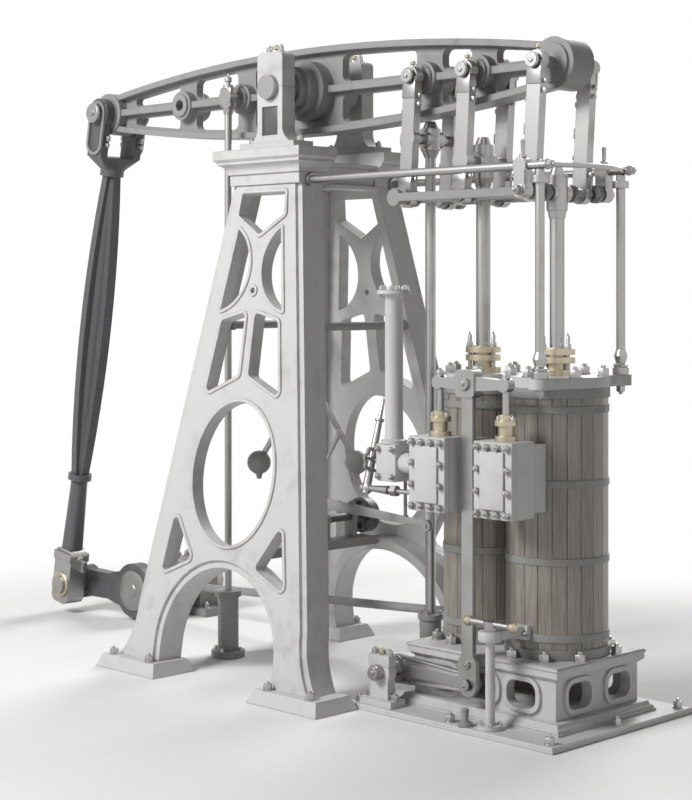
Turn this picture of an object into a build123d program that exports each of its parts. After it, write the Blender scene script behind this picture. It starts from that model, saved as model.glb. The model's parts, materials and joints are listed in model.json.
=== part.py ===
from build123d import *
import os
from math import asin, atan2, cos, degrees, sin, sqrt

# Compound beam engine on a pair of splayed A-frames.
# X runs along the beam towards the cylinders, Y runs across it to the far frame, Z is up.
# The origin is on the floor under the middle of the beam. All sizes are in millimetres.

# Main motion
BEAM_ARM = 1575.0
TRUNNION_Z = 2805.0
CRANK_RADIUS = 460.0
CRANK_Z = 165.0
OUTER_PIN_IN = 55.0
PIN_PITCH = 425.0
PUMP_PITCH = 325.0
FEED_X = -482.0
LINK_DROP = 550.0

# Fits
FIT = 0.1
SEAT = 0.3
RUN = 5.0
PIVOT_GAP = 0.5

# Beam casting
BEAM_HALF_DEPTH = 210.0
BEAM_END_HALF = 88.0
BEAM_WEB = 44.0
BEAM_FLANGE = 130.0
BEAM_FLANGE_T = 30.0
BEAM_RIB_T = 34.0
BEAM_END_BOSS_R = 112.0
BEAM_PIN_BOSS_R = 58.0
BEAM_BOSS_HALF = 84.0
TRUNNION_STEPS = ((146.0, 96.0), (112.0, 150.0), (92.0, 196.0))
TRUNNION_BODY_R = 74.0
TRUNNION_BODY_HALF = 208.0
TRUNNION_R = 58.0
TRUNNION_HALF = 337.0
LINK_PIN_R = 26.0
END_PIN_R = 42.0

# Splayed frames
FRAME_TOP_Z = 2340.0
FRAME_TOP_Y = 260.0
FRAME_FOOT_Y = 615.0
FRAME_TOP_HALF = 237.0
FRAME_FOOT_HALF = 647.0
FRAME_DEPTH = 150.0
FRAME_PLATE = 46.0
FRAME_RIM = 52.0
FACE_MARGIN = 33.0
FACE_STEP = 14.0
BEAD = 16.0
BEAD_PROUD = 7.0
FLARE_HALF = 735.0
FLARE_RISE = 320.0
ARCH_HALF = 395.0
ARCH_SPRING = 145.0
OVAL_X = 278.0
OVAL_Z = 336.0
OVAL_MID = 981.0
PLINTH_OUT = 776.0
PLINTH_IN = 330.0
PLINTH_FRONT = 755.0
PLINTH_BACK = 495.0
PLINTH_H = 62.0

# Cornices and what stands on them
CORNICE_HALF = 304.0
CORNICE_OUT_Y = 407.0
CORNICE_IN_Y = 161.0
CORNICE_TOP_Z = 2508.0
CORNICE_SLAB = 68.0
CORNICE_NECK = 52.0
GIRDER_X = 215.0
GIRDER_H = 120.0
GIRDER_W = 90.0
GIRDER_WEB = 36.0
PEDESTAL_Y = 268.0
PEDESTAL_HALF = 88.0
PEDESTAL_DEPTH = 82.0
PEDESTAL_CAP_H = 168.0
PEDESTAL_SOLE = 34.0
PEDESTAL_FLARE = 58.0
PEDESTAL_FOOT = 92.0

# Connecting rod, crank and shaft
ROD_EYE_R = 82.0
ROD_ARM_IN = 90.0
ROD_ARM_T = 46.0
ROD_CROTCH = 235.0
ROD_BELLY = 184.0
ROD_NECK = 84.0
ROD_RIB = 44.0
ROD_CORE = (32.0, 60.0)
ROD_SHANK = 610.0
ROD_STEM = (104.0, 92.0)
ROD_STEM_R = 46.0
BIG_END_X = 150.0
BIG_END_Y = 112.0
BIG_END_UP = 210.0
BIG_END_DOWN = 104.0
CRANK_PIN_R = 50.0
CRANK_Y = 100.0
CRANK_T = 72.0
CRANK_HUB_R = 150.0
CRANK_EYE_R = 92.0
SHAFT_R = 75.0
SEAT_R = 70.0
SHAFT_END_Y = 710.0
COLLAR_Y = (604.0, 640.0)
SHAFT_COLLAR_R = 104.0
CRANK_BEARING_Y = 530.0
CRANK_BEARING_T = 130.0
CRANK_BEARING_HALF = 150.0
BEARING_CAP_H = 140.0
ECCENTRIC_Y = 400.0
ECCENTRIC_T = 60.0
ECCENTRIC_R = 116.0
ECCENTRIC_THROW = 30.0
STRAP_T = 30.0

# Parallel motion
LINK_Y = 136.0
MAIN_LINK_Y = 172.0
LINK_W = 72.0
LINK_T = 44.0
LINK_EYE_R = 44.0
BAR_Y = 95.0
BAR_T = 22.0
BAR_W = 46.0
STUB_R = 24.0
CROSSHEAD_HALF = 60.0
CROSSHEAD_REACH = 78.0
RADIUS_Y = 218.0
RADIUS_T = 26.0
GUIDE_Y = 280.0
GUIDE_OUT = 130.0
GUIDE_Z = 2356.0
GUIDE_R = 18.0
POST_R = 20.0

# Cylinders
BED_MARGIN = (205.0, 125.0)
BED_Y = 490.0
BED_T = 24.0
BASE_MARGIN = (176.0, 238.0)
BASE_Y = 303.0
BASE_TOP_Z = 290.0
BASE_WALL = 40.0
BARREL_TOP_Z = 1425.0
COVER_T = 46.0
INNER_BORE = 132.0
INNER_LAG_R = 176.0
INNER_FLANGE_R = 182.0
OUTER_BORE = 174.0
OUTER_LAG_R = 219.0
OUTER_FLANGE_R = 226.0
BARREL_WALL = 22.0
FLANGE_T = 42.0
BAND_T = 4.0
BAND_W = 34.0
PISTON_T = 90.0
ROD_R = 32.0
PUMP_ROD_R = 24.0
GLAND_H = 120.0
GLAND_R = 78.0

# Valve gear
VALVE_Y = -362.0
INNER_CHEST_OUT = 67.0
OUTER_CHEST_OUT = 17.0
CHEST_W = 204.0
CHEST_D = 120.0
CHEST_Z = (895.0, 1213.0)
CHEST_COVER_T = 26.0
VALVE_ROD_R = 15.0
VALVE_BORE = 150.0
VALVE_GLAND_TOP = 1320.0
CROSSHEAD_Z = 1443.0
FLAT_ROD_IN = 21.0
FLAT_ROD_W = 62.0
FLAT_ROD_T = 24.0
ROCKER_OUT = 102.0
ROCKER_Z = 170.0
ROCKER_R = 34.0
ROCKER_HALF = 480.0
ROCKER_BEARING_Y = 425.0
LEVER_T = 26.0
ECCENTRIC_ARM = 130.0

# Steam inlet, governor and small gear
STEAM_IN = 272.0
STEAM_R = 40.0
STEAM_TOP_Z = 1838.0
STEAM_LOW_Z = 985.0
GOVERNOR_X = -60.0
GOVERNOR_Z = 575.0
BALL_R = 58.0
BALL_REACH = 240.0
BALL_Z = 992.0
SPINDLE_R = 20.0
SPINDLE_TOP_Z = 1440.0
DRIVE_Z = 700.0
PULLEY_R = 88.0
STAND_OUT = 170.0
STAND_Y = -423.0
STAND_TOP_Z = 470.0
FEED_Y = -150.0
FEED_R = 18.0
FEED_EYE_T = 48.0
FEED_PUMP_H = 330.0

# Worked out from the sizes above
ALONG_Y = (90, 0, 0)
ALONG_X = (0, 90, 0)
swing = asin(CRANK_RADIUS / BEAM_ARM)
outer_pin_x = BEAM_ARM - OUTER_PIN_IN
inner_pin_x = outer_pin_x - PIN_PITCH
pump_pin_x = inner_pin_x - PUMP_PITCH
link_lean = outer_pin_x * (1 - cos(swing)) / 2
splay = atan2(FRAME_FOOT_Y - FRAME_TOP_Y, FRAME_TOP_Z)
frame_slant = FRAME_TOP_Z / cos(splay)
outer_x = outer_pin_x - link_lean
inner_drop = LINK_DROP * inner_pin_x / outer_pin_x
inner_x = inner_pin_x - link_lean * inner_drop / LINK_DROP
pump_drop = LINK_DROP * pump_pin_x / outer_pin_x
pump_x = pump_pin_x - link_lean * pump_drop / LINK_DROP
bar_z = TRUNNION_Z - LINK_DROP
radius_length = pump_pin_x * pump_pin_x / (outer_pin_x - pump_pin_x)
radius_pivot_x = pump_pin_x - link_lean + radius_length
inner_chest_x = inner_x + INNER_CHEST_OUT
outer_chest_x = outer_x + OUTER_CHEST_OUT
flat_rod_x = (inner_chest_x + outer_chest_x) / 2 - FLAT_ROD_IN
rocker_x = pump_x + ROCKER_OUT
steam_x = inner_chest_x - STEAM_IN
guide_x = outer_x + GUIDE_OUT
stand_x = flat_rod_x + STAND_OUT
base_x = (inner_x - BASE_MARGIN[0], outer_x + BASE_MARGIN[1])
bed_x = (base_x[0] - BED_MARGIN[0], base_x[1] + BED_MARGIN[1])
pump_travel = 1.02 * CRANK_RADIUS * pump_pin_x / BEAM_ARM
cover_z = BARREL_TOP_Z + COVER_T
piston_z = (BASE_TOP_Z + BARREL_TOP_Z) / 2
crank_x = -BEAM_ARM
crank_pin_x = crank_x - CRANK_RADIUS
rod_rise = TRUNNION_Z - CRANK_Z
rod_length = sqrt(CRANK_RADIUS ** 2 + rod_rise ** 2)
rod_lean = atan2(CRANK_RADIUS, rod_rise)


def side_plane(y=0.0):
    """Upright plane across the engine at a given Y, with X to the right and Z up."""
    return Plane.XZ.offset(-y)


def frame_half(rise):
    """Half width of a frame at a height up its slant."""
    return FRAME_TOP_HALF + (FRAME_FOOT_HALF - FRAME_TOP_HALF) * (frame_slant - rise) / frame_slant


# A-frames: an outline, its openings, and raised rims round both
FRAME_OVERRUN = 60.0
LEG = 155.0
MULLION = 35.0
TRIANGLE = ((373.0, 773.0), (430.0, 475.0), (224.0, 563.0))
PANEL = (1348.0, 1741.0)
PANEL_STEP = 95.0
PANEL_FALL = 40.0
LENS = (1752.0, 2142.0)
LENS_EDGE = 47.0
LENS_LEG = 128.0
HEAD_TOP = (150.0, 2316.0)
HEAD_SIDE = (160.0, 2210.0)
HEAD_LOW = 2114.0
CORNER_R = 20.0
RING_R = 28.0
RING_RISE = 1845.0

with BuildSketch() as frame_outline:
    with BuildLine():
        flare_top = (-frame_half(FLARE_RISE), FLARE_RISE)
        flare_mid = (-frame_half(FLARE_RISE * 0.42) - 12, FLARE_RISE * 0.42)
        flare_low = (-FLARE_HALF, 0)
        under = (-FLARE_HALF, -FRAME_OVERRUN)
        head = (-frame_half(frame_slant + FRAME_OVERRUN), frame_slant + FRAME_OVERRUN)
        ThreePointArc(flare_low, flare_mid, flare_top)
        Line(flare_top, head)
        Line(head, (0, head[1]))
        Line(flare_low, under)
        Line(under, (0, under[1]))
        mirror(about=Plane.YZ)
    make_face()
    with BuildLine():
        foot = -FRAME_OVERRUN - 1
        Polyline((-ARCH_HALF, ARCH_SPRING), (-ARCH_HALF, foot), (ARCH_HALF, foot), (ARCH_HALF, ARCH_SPRING))
        RadiusArc((-ARCH_HALF, ARCH_SPRING), (ARCH_HALF, ARCH_SPRING), ARCH_HALF)
    make_face(mode=Mode.SUBTRACT)

with BuildSketch() as frame_openings:
    with BuildSketch(mode=Mode.PRIVATE) as side_openings:
        with BuildLine():
            Polyline(*((-x, rise) for x, rise in TRIANGLE), close=True)
        make_face()
        with BuildLine():
            Polyline(
                (-frame_half(PANEL[0]) + LEG, PANEL[0]),
                (-frame_half(PANEL[1] - PANEL_FALL) + LEG, PANEL[1] - PANEL_FALL),
                (-MULLION, PANEL[1]),
                (-MULLION, PANEL[0] + PANEL_STEP),
                close=True,
            )
        make_face()
        fillet(side_openings.vertices(), CORNER_R)
        with BuildLine():
            lens_low = (-frame_half(LENS[0]) + LENS_LEG, LENS[0])
            lens_top = (-frame_half(LENS[1]) + LENS_LEG, LENS[1])
            Line(lens_low, lens_top)
            ThreePointArc(lens_low, (-LENS_EDGE, sum(LENS) / 2), lens_top)
        make_face()
    add(side_openings.sketch)
    mirror(side_openings.sketch, about=Plane.YZ)
    with BuildSketch(mode=Mode.PRIVATE) as head_opening:
        with BuildLine():
            Polyline(
                (-HEAD_TOP[0], HEAD_TOP[1]),
                HEAD_TOP,
                HEAD_SIDE,
                (0, HEAD_LOW),
                (-HEAD_SIDE[0], HEAD_SIDE[1]),
                close=True,
            )
        make_face()
        fillet(head_opening.vertices(), CORNER_R / 2)
    add(head_opening.sketch)

frame_plane = Plane(
    origin=(0, -FRAME_FOOT_Y, 0), x_dir=(1, 0, 0), z_dir=(0, -cos(splay), sin(splay))
)


def oval_opening(grow, mode=Mode.ADD):
    """Large oval through the frame, widened by a margin."""
    with Locations((0, OVAL_MID)):
        Ellipse(OVAL_X + grow, OVAL_Z + grow, mode=mode)


frame_back = -FRAME_DEPTH / 2
frame_face = FRAME_DEPTH / 2
plate_front = frame_face - FACE_STEP
plate_back = plate_front - FRAME_PLATE
with BuildPart() as front_frame:
    with BuildSketch(frame_plane.offset(frame_back)):
        add(frame_outline.sketch)
        offset(frame_outline.sketch, amount=-FRAME_RIM, mode=Mode.SUBTRACT)
    extrude(amount=plate_back - frame_back)
    with BuildSketch(frame_plane.offset(plate_back)):
        add(frame_outline.sketch)
    extrude(amount=FRAME_PLATE)
    with BuildSketch(frame_plane.offset(plate_front)):
        offset(frame_outline.sketch, amount=-FACE_MARGIN)
    extrude(amount=FACE_STEP)
    with BuildSketch(frame_plane.offset(frame_face)):
        offset(frame_openings.sketch, amount=BEAD)
        oval_opening(BEAD)
        with Locations((0, RING_RISE)):
            Circle(RING_R)
    extrude(amount=BEAD_PROUD)
    with BuildSketch(frame_plane):
        add(frame_openings.sketch)
        oval_opening(0)
        with Locations((0, RING_RISE)):
            Circle(RING_R / 2)
    extrude(amount=FRAME_DEPTH, both=True, mode=Mode.SUBTRACT)
    with Locations((0, -FRAME_FOOT_Y, FRAME_TOP_Z / 2)):
        Box(4 * FLARE_HALF, 4 * FRAME_FOOT_Y, FRAME_TOP_Z, mode=Mode.INTERSECT)
    plinth_x = (PLINTH_OUT + PLINTH_IN) / 2
    plinth_y = -(PLINTH_FRONT + PLINTH_BACK) / 2
    for side in (-1, 1):
        with BuildSketch(Plane.XY.offset(0)):
            with Locations((side * plinth_x, plinth_y)):
                Rectangle(PLINTH_OUT - PLINTH_IN, PLINTH_FRONT - PLINTH_BACK)
        extrude(amount=PLINTH_H, taper=25)
front_frame.part.label = "front_frame"

with BuildPart() as back_frame:
    mirror(front_frame.part, about=Plane.XZ)
back_frame.part.label = "back_frame"

# Cornices on the frames
NECK_IN = 61.0
NECK_OUT_X = CORNICE_HALF - NECK_IN
NECK_FILLET = 10.0
SLAB_FILLET = 14.0
SLAB_NOSE = 12.0
CAVETTO = 0.29
cornice_neck_z = FRAME_TOP_Z + CORNICE_NECK
slab_z = CORNICE_TOP_Z - CORNICE_SLAB


def cornice_edge(reach, hand):
    """Moulded edge from the neck up to the slab, at a reach from the middle."""
    neck = reach - NECK_IN
    hollow_in = neck + NECK_FILLET
    hollow_out = reach - SLAB_FILLET
    bend_x = hollow_in + CAVETTO * (hollow_out - hollow_in)
    bend_z = slab_z - CAVETTO * (slab_z - cornice_neck_z)
    Polyline((hand * neck, FRAME_TOP_Z), (hand * neck, cornice_neck_z), (hand * hollow_in, cornice_neck_z))
    ThreePointArc((hand * hollow_in, cornice_neck_z), (hand * bend_x, bend_z), (hand * hollow_out, slab_z))
    Polyline(
        (hand * hollow_out, slab_z),
        (hand * hollow_out, slab_z + SLAB_NOSE),
        (hand * reach, slab_z + 2 * SLAB_NOSE),
        (hand * reach, CORNICE_TOP_Z),
    )


with BuildPart() as front_cornice:
    with BuildSketch(Plane.XZ):
        with BuildLine():
            cornice_edge(CORNICE_HALF, 1)
            cornice_edge(CORNICE_HALF, -1)
            Line((-NECK_OUT_X, FRAME_TOP_Z), (NECK_OUT_X, FRAME_TOP_Z))
            Line((-CORNICE_HALF, CORNICE_TOP_Z), (CORNICE_HALF, CORNICE_TOP_Z))
        make_face()
    extrude(amount=2 * CORNICE_OUT_Y)
    with BuildSketch(Plane.YZ.offset(-2 * CORNICE_HALF)):
        with BuildLine():
            cornice_edge(CORNICE_OUT_Y, -1)
            Polyline(
                (NECK_IN - CORNICE_OUT_Y, FRAME_TOP_Z),
                (-CORNICE_IN_Y, FRAME_TOP_Z),
                (-CORNICE_IN_Y, CORNICE_TOP_Z),
                (-CORNICE_OUT_Y, CORNICE_TOP_Z),
            )
        make_face()
    extrude(amount=4 * CORNICE_HALF, mode=Mode.INTERSECT)
front_cornice.part.label = "front_cornice"

with BuildPart() as back_cornice:
    mirror(front_cornice.part, about=Plane.XZ)
back_cornice.part.label = "back_cornice"

# Cross girders between the cornices
girder_low = slab_z - GIRDER_H
with BuildPart() as cross_girders:
    for side in (-1, 1):
        with BuildSketch(side_plane(CORNICE_IN_Y)):
            with Locations((side * GIRDER_X, girder_low + GIRDER_H / 2)):
                Rectangle(GIRDER_WEB, GIRDER_H)
            for level in (girder_low + GIRDER_WEB / 4, slab_z - GIRDER_WEB / 4):
                with Locations((side * GIRDER_X, level)):
                    Rectangle(GIRDER_W, GIRDER_WEB / 2)
        extrude(amount=2 * CORNICE_IN_Y)
cross_girders.part.label = "cross_girders"

# Stays between the frames' legs
STAY_Z = 1667.0
STAY_X = 322.0
STAY_R = 20.0
STAY_COLLAR = (26.0, 30.0)


def frame_inside(z):
    """Distance from the middle plane to the inner face of a frame at a height."""
    lean = (FRAME_FOOT_Y - FRAME_TOP_Y) / FRAME_TOP_Z
    return FRAME_FOOT_Y - lean * z - FRAME_DEPTH / 2 / cos(splay)


stay_half = frame_inside(STAY_Z + STAY_COLLAR[0]) - SEAT
with BuildPart() as frame_stays:
    for side in (-1, 1):
        with Locations((side * STAY_X, 0, STAY_Z)):
            Cylinder(STAY_R, 2 * stay_half, rotation=ALONG_Y)
        for end in (-1, 1):
            with Locations((side * STAY_X, end * (stay_half - STAY_COLLAR[1] / 2), STAY_Z)):
                Cylinder(*STAY_COLLAR, rotation=ALONG_Y)
frame_stays.part.label = "frame_stays"

# Trunnion pedestals and their caps
PANEL_SINK = 12.0
PANEL_EDGE = 34.0
SOLE_MARGIN = 44.0
sole_top = CORNICE_TOP_Z + PEDESTAL_SOLE
foot_half = PEDESTAL_HALF + PEDESTAL_FLARE
foot_top = sole_top + PEDESTAL_FOOT
with BuildSketch() as pedestal_outline:
    with BuildLine():
        bend = (PEDESTAL_HALF + CAVETTO * PEDESTAL_FLARE, sole_top + CAVETTO * PEDESTAL_FOOT)
        Line((0, sole_top), (foot_half, sole_top))
        ThreePointArc((foot_half, sole_top), bend, (PEDESTAL_HALF, foot_top))
        Polyline((PEDESTAL_HALF, foot_top), (PEDESTAL_HALF, TRUNNION_Z), (0, TRUNNION_Z))
        mirror(about=Plane.YZ)
    make_face()

panel_low = sole_top + PANEL_EDGE
panel_high = TRUNNION_Z - TRUNNION_R - PANEL_EDGE
with BuildPart() as trunnion_pedestals:
    for side in (-1, 1):
        with BuildSketch(side_plane(side * PEDESTAL_Y)):
            add(pedestal_outline.sketch)
        extrude(amount=PEDESTAL_DEPTH / 2, both=True)
        with Locations((0, side * PEDESTAL_Y, CORNICE_TOP_Z + PEDESTAL_SOLE / 2)):
            Box(2 * (foot_half + SOLE_MARGIN), PEDESTAL_DEPTH + SOLE_MARGIN, PEDESTAL_SOLE)
        panel_y = side * (PEDESTAL_Y + PEDESTAL_DEPTH / 2)
        with Locations((0, panel_y, (panel_low + panel_high) / 2)):
            Box(2 * (PEDESTAL_HALF - PANEL_EDGE), 2 * PANEL_SINK, panel_high - panel_low, mode=Mode.SUBTRACT)
    with Locations((0, 0, TRUNNION_Z)):
        Cylinder(TRUNNION_R + FIT, 4 * PEDESTAL_Y, rotation=ALONG_Y, mode=Mode.SUBTRACT)
trunnion_pedestals.part.label = "trunnion_pedestals"

with BuildPart() as trunnion_caps:
    for side in (-1, 1):
        with Locations((0, side * PEDESTAL_Y, TRUNNION_Z + PEDESTAL_CAP_H / 2)):
            Box(2 * PEDESTAL_HALF, PEDESTAL_DEPTH, PEDESTAL_CAP_H)
        top_edges = trunnion_caps.edges().filter_by(Axis.Y).group_by(Axis.Z)[-1]
    fillet(top_edges, PEDESTAL_HALF / 3)
    with Locations((0, 0, TRUNNION_Z)):
        Cylinder(TRUNNION_R + FIT, 4 * PEDESTAL_Y, rotation=ALONG_Y, mode=Mode.SUBTRACT)
trunnion_caps.part.label = "trunnion_caps"

# Beam: arched flanges, a middle rib, a pierced web, bosses and pins
HOLE_SPANS = {1: ((205, 690), (848, 1025), (1170, 1370)), -1: ((205, 415), (550, 878), (1012, 1385))}
HOLE_EDGE = 15.0
HOLE_LEAST = 24.0
HOLE_CORNER = 34.0
RING_BOSS = 0.6
BOSS_STEP = 8.0


def beam_half(x):
    """Half depth of the beam at a distance from its middle."""
    return BEAM_HALF_DEPTH - (BEAM_HALF_DEPTH - BEAM_END_HALF) * (x / BEAM_ARM) ** 2


with BuildSketch() as beam_outline:
    with BuildLine():
        ThreePointArc((-BEAM_ARM, BEAM_END_HALF), (0, BEAM_HALF_DEPTH), (outer_pin_x, BEAM_END_HALF))
        ThreePointArc((-BEAM_ARM, -BEAM_END_HALF), (0, -BEAM_HALF_DEPTH), (outer_pin_x, -BEAM_END_HALF))
        Line((-BEAM_ARM, BEAM_END_HALF), (-BEAM_ARM, -BEAM_END_HALF))
        Line((outer_pin_x, BEAM_END_HALF), (outer_pin_x, -BEAM_END_HALF))
    make_face()

with BuildSketch() as beam_holes:
    for hand, spans in HOLE_SPANS.items():
        for start, end in spans:
            for rise in (-1, 1):
                tall_in = beam_half(start) - BEAM_FLANGE_T - HOLE_EDGE
                tall_out = beam_half(end) - BEAM_FLANGE_T - HOLE_EDGE
                low = BEAM_RIB_T / 2 + HOLE_EDGE
                if tall_out - low < HOLE_LEAST:
                    continue
                with BuildSketch(mode=Mode.PRIVATE) as hole:
                    with BuildLine():
                        Polyline(
                            (hand * start, rise * low),
                            (hand * end, rise * low),
                            (hand * end, rise * tall_out),
                            (hand * start, rise * tall_in),
                            close=True,
                        )
                    make_face()
                    fillet(hole.vertices(), min(HOLE_CORNER, (tall_out - low) * 0.45))
                add(hole.sketch)

beam_plane = side_plane().offset(0)
beam_plane.origin = Vector(0, 0, TRUNNION_Z)
with BuildPart() as beam:
    with BuildSketch(beam_plane):
        add(beam_outline.sketch)
        add(beam_holes.sketch, mode=Mode.SUBTRACT)
    extrude(amount=BEAM_WEB / 2, both=True)
    with BuildSketch(beam_plane):
        add(beam_outline.sketch)
        offset(beam_outline.sketch, amount=-BEAM_FLANGE_T, mode=Mode.SUBTRACT)
        with Locations(((outer_pin_x - BEAM_ARM) / 2, 0)):
            Rectangle(BEAM_ARM + outer_pin_x, BEAM_RIB_T)
    extrude(amount=BEAM_FLANGE / 2, both=True)
    for radius, half in ((BEAM_END_BOSS_R, BEAM_FLANGE / 2 + BOSS_STEP), (0.76 * BEAM_END_BOSS_R, BEAM_BOSS_HALF)):
        for pin_x in (-BEAM_ARM, outer_pin_x):
            with Locations((pin_x, 0, TRUNNION_Z)):
                Cylinder(radius, 2 * half, rotation=ALONG_Y)
    for radius, half in ((1.3 * BEAM_PIN_BOSS_R, BEAM_FLANGE / 2 + BOSS_STEP), (BEAM_PIN_BOSS_R, BEAM_BOSS_HALF)):
        for pin_x in (FEED_X, inner_pin_x, pump_pin_x, -RING_BOSS * BEAM_ARM):
            with Locations((pin_x, 0, TRUNNION_Z)):
                Cylinder(radius, 2 * half, rotation=ALONG_Y)
    for radius, half in TRUNNION_STEPS:
        with Locations((0, 0, TRUNNION_Z)):
            Cylinder(radius, 2 * half, rotation=ALONG_Y)
    with Locations((0, 0, TRUNNION_Z)):
        Cylinder(TRUNNION_BODY_R + FIT, 4 * TRUNNION_HALF, rotation=ALONG_Y, mode=Mode.SUBTRACT)
    with Locations((-RING_BOSS * BEAM_ARM, 0, TRUNNION_Z)):
        Cylinder(BEAM_PIN_BOSS_R / 2, 4 * BEAM_BOSS_HALF, rotation=ALONG_Y, mode=Mode.SUBTRACT)
    PIN_PROUD = 16.0
    for pin_x, pin_y in ((inner_pin_x, LINK_Y), (pump_pin_x, LINK_Y)):
        with Locations((pin_x, 0, TRUNNION_Z)):
            Cylinder(LINK_PIN_R, 2 * (pin_y + LINK_T / 2 + PIN_PROUD), rotation=ALONG_Y)
    main_reach = MAIN_LINK_Y + LINK_T / 2 + PIN_PROUD
    with Locations((outer_pin_x, 0, TRUNNION_Z)):
        Cylinder(LINK_PIN_R, 2 * main_reach, rotation=ALONG_Y)
    rod_reach = ROD_ARM_IN + ROD_ARM_T + 2 * PIN_PROUD
    with Locations((-BEAM_ARM, 0, TRUNNION_Z)):
        Cylinder(END_PIN_R, 2 * rod_reach, rotation=ALONG_Y)
    feed_stub = -FEED_Y - FEED_EYE_T / 2 - PIVOT_GAP - BEAM_BOSS_HALF
    with Locations((FEED_X, -BEAM_BOSS_HALF - feed_stub / 2, TRUNNION_Z)):
        Cylinder(LINK_PIN_R, feed_stub, rotation=ALONG_Y)
beam.part.label = "beam"

with BuildPart() as trunnion_shaft:
    with Locations((0, 0, TRUNNION_Z)):
        Cylinder(TRUNNION_BODY_R, 2 * TRUNNION_BODY_HALF, rotation=ALONG_Y)
        Cylinder(TRUNNION_R, 2 * TRUNNION_HALF, rotation=ALONG_Y)
trunnion_shaft.part.label = "trunnion_shaft"

# Connecting rod, built up its own axis from the crank pin
rod_plane = Plane(
    origin=(crank_pin_x, 0, CRANK_Z),
    x_dir=(cos(rod_lean), 0, -sin(rod_lean)),
    z_dir=(sin(rod_lean), 0, cos(rod_lean)),
)
rod_face = Plane(origin=rod_plane.origin, x_dir=rod_plane.x_dir, z_dir=-rod_plane.y_dir)
rod_edge = Plane(origin=rod_plane.origin, x_dir=rod_plane.y_dir, z_dir=rod_plane.x_dir)
fork_z = rod_length - ROD_CROTCH
shank_z = ROD_SHANK
shank_top = fork_z - 70
COLLAR_R = 66.0
COLLAR_T = 34.0


def rod_rib(half):
    """Fish-bellied outline of one rib of the shank."""
    middle = (shank_z + shank_top) / 2
    with BuildSketch(mode=Mode.PRIVATE) as rib:
        with BuildLine():
            ThreePointArc((-half[0], shank_z), (-half[1], middle), (-half[0], shank_top))
            ThreePointArc((half[0], shank_z), (half[1], middle), (half[0], shank_top))
            Line((-half[0], shank_z), (half[0], shank_z))
            Line((-half[0], shank_top), (half[0], shank_top))
        make_face()
    return rib.sketch


with BuildPart() as connecting_rod:
    with BuildSketch(rod_face):
        add(rod_rib((ROD_NECK / 2, ROD_BELLY / 2)))
    extrude(amount=ROD_RIB / 2, both=True)
    with BuildSketch(rod_edge):
        add(rod_rib((ROD_NECK / 2, ROD_BELLY / 2)))
    extrude(amount=ROD_RIB / 2, both=True)
    with BuildSketch(rod_face):
        add(rod_rib(ROD_CORE))
        with Locations((-ROD_BELLY, (shank_z + shank_top) / 2)):
            Rectangle(2 * ROD_BELLY, 2 * rod_length, mode=Mode.SUBTRACT)
    revolve(axis=Axis(rod_plane.origin, rod_plane.z_dir))
    for level in (shank_z, shank_top - COLLAR_T):
        with BuildSketch(rod_plane.offset(level)):
            Circle(COLLAR_R)
        extrude(amount=COLLAR_T)
    with BuildSketch(rod_plane.offset(BIG_END_UP)):
        RectangleRounded(*ROD_STEM, ROD_STEM_R / 2)
    with BuildSketch(rod_plane.offset(shank_z)):
        Circle(ROD_STEM_R)
    loft()
    with BuildSketch(rod_plane.offset(shank_top)):
        Circle(COLLAR_R)
    with BuildSketch(rod_plane.offset(fork_z)):
        Rectangle(1.5 * ROD_EYE_R, 2 * (ROD_ARM_IN + ROD_ARM_T))
    loft()
    for side in (-1, 1):
        arm_mid = side * (ROD_ARM_IN + ROD_ARM_T / 2)
        with BuildSketch(rod_face.offset(-arm_mid)):
            with Locations((0, (fork_z + rod_length) / 2)):
                Rectangle(1.5 * ROD_EYE_R, rod_length - fork_z)
            with Locations((0, rod_length)):
                Circle(ROD_EYE_R)
                Circle(END_PIN_R + FIT, mode=Mode.SUBTRACT)
        extrude(amount=ROD_ARM_T / 2, both=True)
connecting_rod.part.label = "connecting_rod"

COTTER = (26.0, 60.0)
with BuildPart() as big_end:
    big_mid = (BIG_END_UP - BIG_END_DOWN) / 2
    with BuildSketch(rod_face):
        with Locations((0, big_mid)):
            RectangleRounded(BIG_END_X, BIG_END_UP + BIG_END_DOWN, 40)
    extrude(amount=BIG_END_Y / 2, both=True)
    pin_far = CRANK_Y - PIVOT_GAP
    with BuildSketch(rod_face.offset(-pin_far)):
        Circle(CRANK_PIN_R)
    extrude(amount=pin_far + BIG_END_Y / 2 + 22)
    cotter_level = BIG_END_UP - 80
    with BuildSketch(rod_edge):
        with Locations((0, cotter_level)):
            Rectangle(*COTTER)
    extrude(amount=BIG_END_X / 2 + 60, both=True)
big_end.part.label = "big_end"

# Crank, shaft, eccentric and their bearing
with BuildPart() as crank:
    with BuildSketch(side_plane(CRANK_Y + CRANK_T)):
        with Locations((crank_x, CRANK_Z)):
            Circle(CRANK_HUB_R)
        with Locations((crank_pin_x, CRANK_Z)):
            Circle(CRANK_EYE_R)
        with BuildLine():
            neck = 0.82
            Polyline(
                (crank_x, CRANK_Z + neck * CRANK_HUB_R),
                (crank_x - 0.5 * CRANK_RADIUS, CRANK_Z + 0.78 * CRANK_EYE_R),
                (crank_pin_x, CRANK_Z + neck * CRANK_EYE_R),
                (crank_pin_x, CRANK_Z - neck * CRANK_EYE_R),
                (crank_x - 0.5 * CRANK_RADIUS, CRANK_Z - 0.78 * CRANK_EYE_R),
                (crank_x, CRANK_Z - neck * CRANK_HUB_R),
                close=True,
            )
        make_face()
    extrude(amount=CRANK_T)
    with Locations((crank_x, CRANK_Y + CRANK_T / 2, CRANK_Z)):
        Cylinder(SHAFT_R + FIT, 2 * CRANK_T, rotation=ALONG_Y, mode=Mode.SUBTRACT)
crank.part.label = "crank"

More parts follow.
